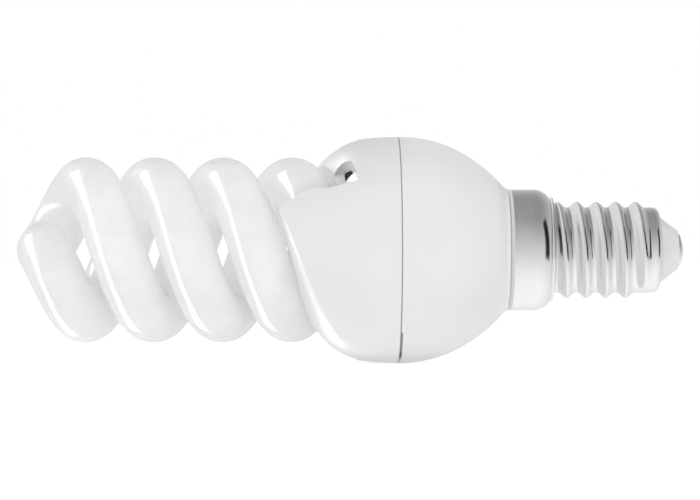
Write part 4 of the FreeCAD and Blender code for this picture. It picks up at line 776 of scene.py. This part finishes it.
class BULB_OT_stage(bpy.types.Operator):
    """Lays the pale floor and sets the lamps, the world and the camera"""
    bl_idname = "bulb.stage"
    bl_label = "Studio"

    def card(self, name, line, width, glow, facing=None):
        """Lit or black band along a line of points, for mirrors only; it faces the lamp or a given way."""
        mesh = bpy.data.meshes.new(name)
        points = []
        for number, point in enumerate(line):
            along = line[min(number + 1, len(line) - 1)] - line[max(number - 1, 0)]
            aside = along.cross(facing or point).normalized() * width / 2
            points += [point - aside, point + aside]
        faces = [(2 * n, 2 * n + 1, 2 * n + 3, 2 * n + 2) for n in range(len(line) - 1)]
        mesh.from_pydata(points, [], faces)
        material, tree, shader = new_material(
            name, Base_Color=(0, 0, 0, 1), Roughness=1.0, Specular_IOR_Level=0.0,
            Emission_Color=(1, 1, 1, 1), Emission_Strength=glow)
        mesh.materials.append(material)
        band = new_piece(name, mesh)
        band.visible_camera = False
        band.visible_diffuse = False
        band.visible_shadow = False
        band.visible_transmission = False

    def execute(self, context):
        stage = context.scene.bulb_stage
        scene = context.scene
        mesh = bpy.data.meshes.new("table_top")
        level = CAD_BOX[0].z
        # Metres each way from the lamp.
        reach = 6.0
        mesh.from_pydata([(-reach, -reach, level), (reach, -reach, level), (reach, reach, level),
                          (-reach, reach, level)], [], [(0, 1, 2, 3)])
        table = new_piece("table_top", mesh)
        material, tree, shader = new_material("white_card", Base_Color=stage.floor, Roughness=0.8)
        light = add_node(tree, "ShaderNodeLightPath")
        # The table glows a little more for the camera, so that it comes out white and keeps its shadow.
        seen = add_node(tree, "ShaderNodeMath", {
            0: light.outputs["Is Camera Ray"], 1: light.outputs["Is Transmission Ray"]}, operation="MAXIMUM")
        glow = add_node(tree, "ShaderNodeMapRange", {
            "Value": seen, "To Min": stage.floor_lift, "To Max": stage.floor_glow})
        tree.links.new(glow.outputs[0], shader.inputs["Emission Strength"])
        shader.inputs["Emission Color"].default_value = (1, 1, 1, 1)
        mesh.materials.append(material)
        # Mirrors look past the table to the surround, so that the curved light shows in the whole glass.
        table.visible_glossy = False

        world = bpy.data.worlds.new("studio")
        world.use_nodes = True
        tree = world.node_tree
        tree.nodes.clear()
        light = add_node(tree, "ShaderNodeLightPath")
        # Mirrors see a bright surround low down and a grey ceiling; the camera sees white all over.
        low_glow, high_glow = 1.22, 0.34
        height_reach = 0.9
        place = add_node(tree, "ShaderNodeTexCoord")
        height = add_node(tree, "ShaderNodeSeparateXYZ", {0: place.outputs["Generated"]})
        ceiling = add_node(tree, "ShaderNodeMapRange", {
            "Value": height.outputs["Z"], "From Min": -height_reach, "From Max": height_reach,
            "To Min": low_glow, "To Max": high_glow})
        mirror = add_node(tree, "ShaderNodeMath", {
            0: light.outputs["Is Glossy Ray"], 1: light.outputs["Is Transmission Ray"]}, operation="MAXIMUM")
        shown = add_node(tree, "ShaderNodeMapRange", {
            "Value": mirror, "To Min": stage.world_light, "To Max": ceiling})
        strength = add_node(tree, "ShaderNodeMapRange", {
            "Value": light.outputs["Is Camera Ray"], "To Min": shown, "To Max": 1.0})
        sky = add_node(tree, "ShaderNodeBackground", {"Color": (1, 1, 1, 1), "Strength": strength})
        out = add_node(tree, "ShaderNodeOutputWorld")
        tree.links.new(sky.outputs[0], out.inputs["Surface"])
        scene.world = world

        # Both boxes face the middle of the lamp. Each has its place, width, height and power.
        middle = Vector((-0.0225, 0, 0))
        for name, place, width, height, power in (
            ("soft_box", (-0.1, -0.45, 0.45), 0.4, 0.4, stage.box_power),
            ("side_box", (0.5, -0.35, 0.1), 0.3, 0.3, stage.side_power),
        ):
            lamp = bpy.data.lights.new(name, "AREA")
            lamp.shape = "RECTANGLE"
            lamp.size, lamp.size_y = width, height
            lamp.energy = power
            holder = bpy.data.objects.new(name, lamp)
            holder.location = place
            holder.rotation_mode = "QUATERNION"
            holder.rotation_quaternion = (middle - Vector(place)).to_track_quat("-Z", "Y")
            holder.visible_camera = False
            holder.visible_glossy = False
            scene.collection.objects.link(holder)

        # A curved light wraps the glass from behind its top, past its side, to under it, and makes the long
        # soft highlight along each strand. The ways are from the middle of the glass.
        glass_middle = Vector((-0.045, 0, 0))
        arc_distance = 0.45
        ways = (
            (-0.6, 0.58, 0.55), (-0.8, 0.2, 0.5), (-0.93, -0.17, 0.32),
            (-0.95, -0.28, 0.0), (-0.91, -0.28, -0.3), (-0.78, -0.18, -0.58),
            (-0.6, 0.03, -0.8), (-0.42, 0.3, -0.86), (-0.2, 0.62, -0.75),
        )
        arc = [glass_middle + Vector(way).normalized() * arc_distance for way in ways]
        self.card("arc_light", arc, stage.arc_width, stage.arc_glow)
        # A dark card beyond the cap gives the thread its black streaks.
        dark_line = [Vector((0.42, -0.16, level)) for level in (-0.1, 0.45)]
        self.card("dark_card", dark_line, width=0.22, glow=0.0)
        # A pale card across the lamp, beside the skirt's edge, hides the curved light from the cap.
        pale_line = [Vector((-0.0015, -0.15, level)) for level in (-0.5, 0.5)]
        self.card("pale_card", pale_line, width=0.9, glow=0.85, facing=Vector((1, 0, 0)))

        camera = bpy.data.cameras.new("camera")
        camera.lens = stage.lens
        camera.sensor_width = 36
        camera.clip_start = 0.01
        holder = bpy.data.objects.new("camera", camera)
        scene.collection.objects.link(holder)
        aim = Vector((stage.aim, 0, 0))
        way = Matrix.Rotation(-stage.slant, 4, "Z") @ Vector((0, -1, 0))
        holder.location = aim + way * stage.distance
        holder.rotation_mode = "QUATERNION"
        holder.rotation_quaternion = (-way).to_track_quat("-Z", "Y")
        scene.camera = holder
        scene.view_settings.view_transform = "Standard"
        return {"FINISHED"}


class BULB_PT_panel(bpy.types.Panel):
    """Settings and steps of the bulb"""
    bl_label = "Spiral bulb"
    bl_idname = "BULB_PT_panel"
    bl_space_type = "VIEW_3D"
    bl_region_type = "UI"
    bl_category = "Bulb"

    def draw(self, context):
        scene = context.scene
        for settings, step in (
            (scene.bulb_tube, "bulb.spiral_tube"), (scene.bulb_housing, "bulb.housing"),
            (scene.bulb_cap, "bulb.screw_cap"), (None, "bulb.windings"), (None, "bulb.ballast"),
            (scene.bulb_stage, "bulb.stage"),
        ):
            box = self.layout.box()
            for name in settings.__annotations__ if settings else ():
                box.prop(settings, name)
            box.operator(step)


CLASSES = (
    BulbTubeSettings, BulbHousingSettings, BulbCapSettings, BulbStageSettings,
    BULB_OT_spiral_tube, BULB_OT_housing, BULB_OT_screw_cap, BULB_OT_windings, BULB_OT_ballast, BULB_OT_stage,
    BULB_PT_panel,
)


def register():
    for kind in CLASSES:
        bpy.utils.register_class(kind)
    bpy.types.Scene.bulb_tube = bpy.props.PointerProperty(type=BulbTubeSettings)
    bpy.types.Scene.bulb_housing = bpy.props.PointerProperty(type=BulbHousingSettings)
    bpy.types.Scene.bulb_cap = bpy.props.PointerProperty(type=BulbCapSettings)
    bpy.types.Scene.bulb_stage = bpy.props.PointerProperty(type=BulbStageSettings)


def unregister():
    del bpy.types.Scene.bulb_tube
    del bpy.types.Scene.bulb_housing
    del bpy.types.Scene.bulb_cap
    del bpy.types.Scene.bulb_stage
    for kind in reversed(CLASSES):
        bpy.utils.unregister_class(kind)


def main():
    register()
    bpy.ops.bulb.spiral_tube()
    bpy.ops.bulb.housing()
    bpy.ops.bulb.screw_cap()
    bpy.ops.bulb.windings()
    bpy.ops.bulb.ballast()
    bpy.ops.bulb.stage()


if __name__ == "__main__":
    main()
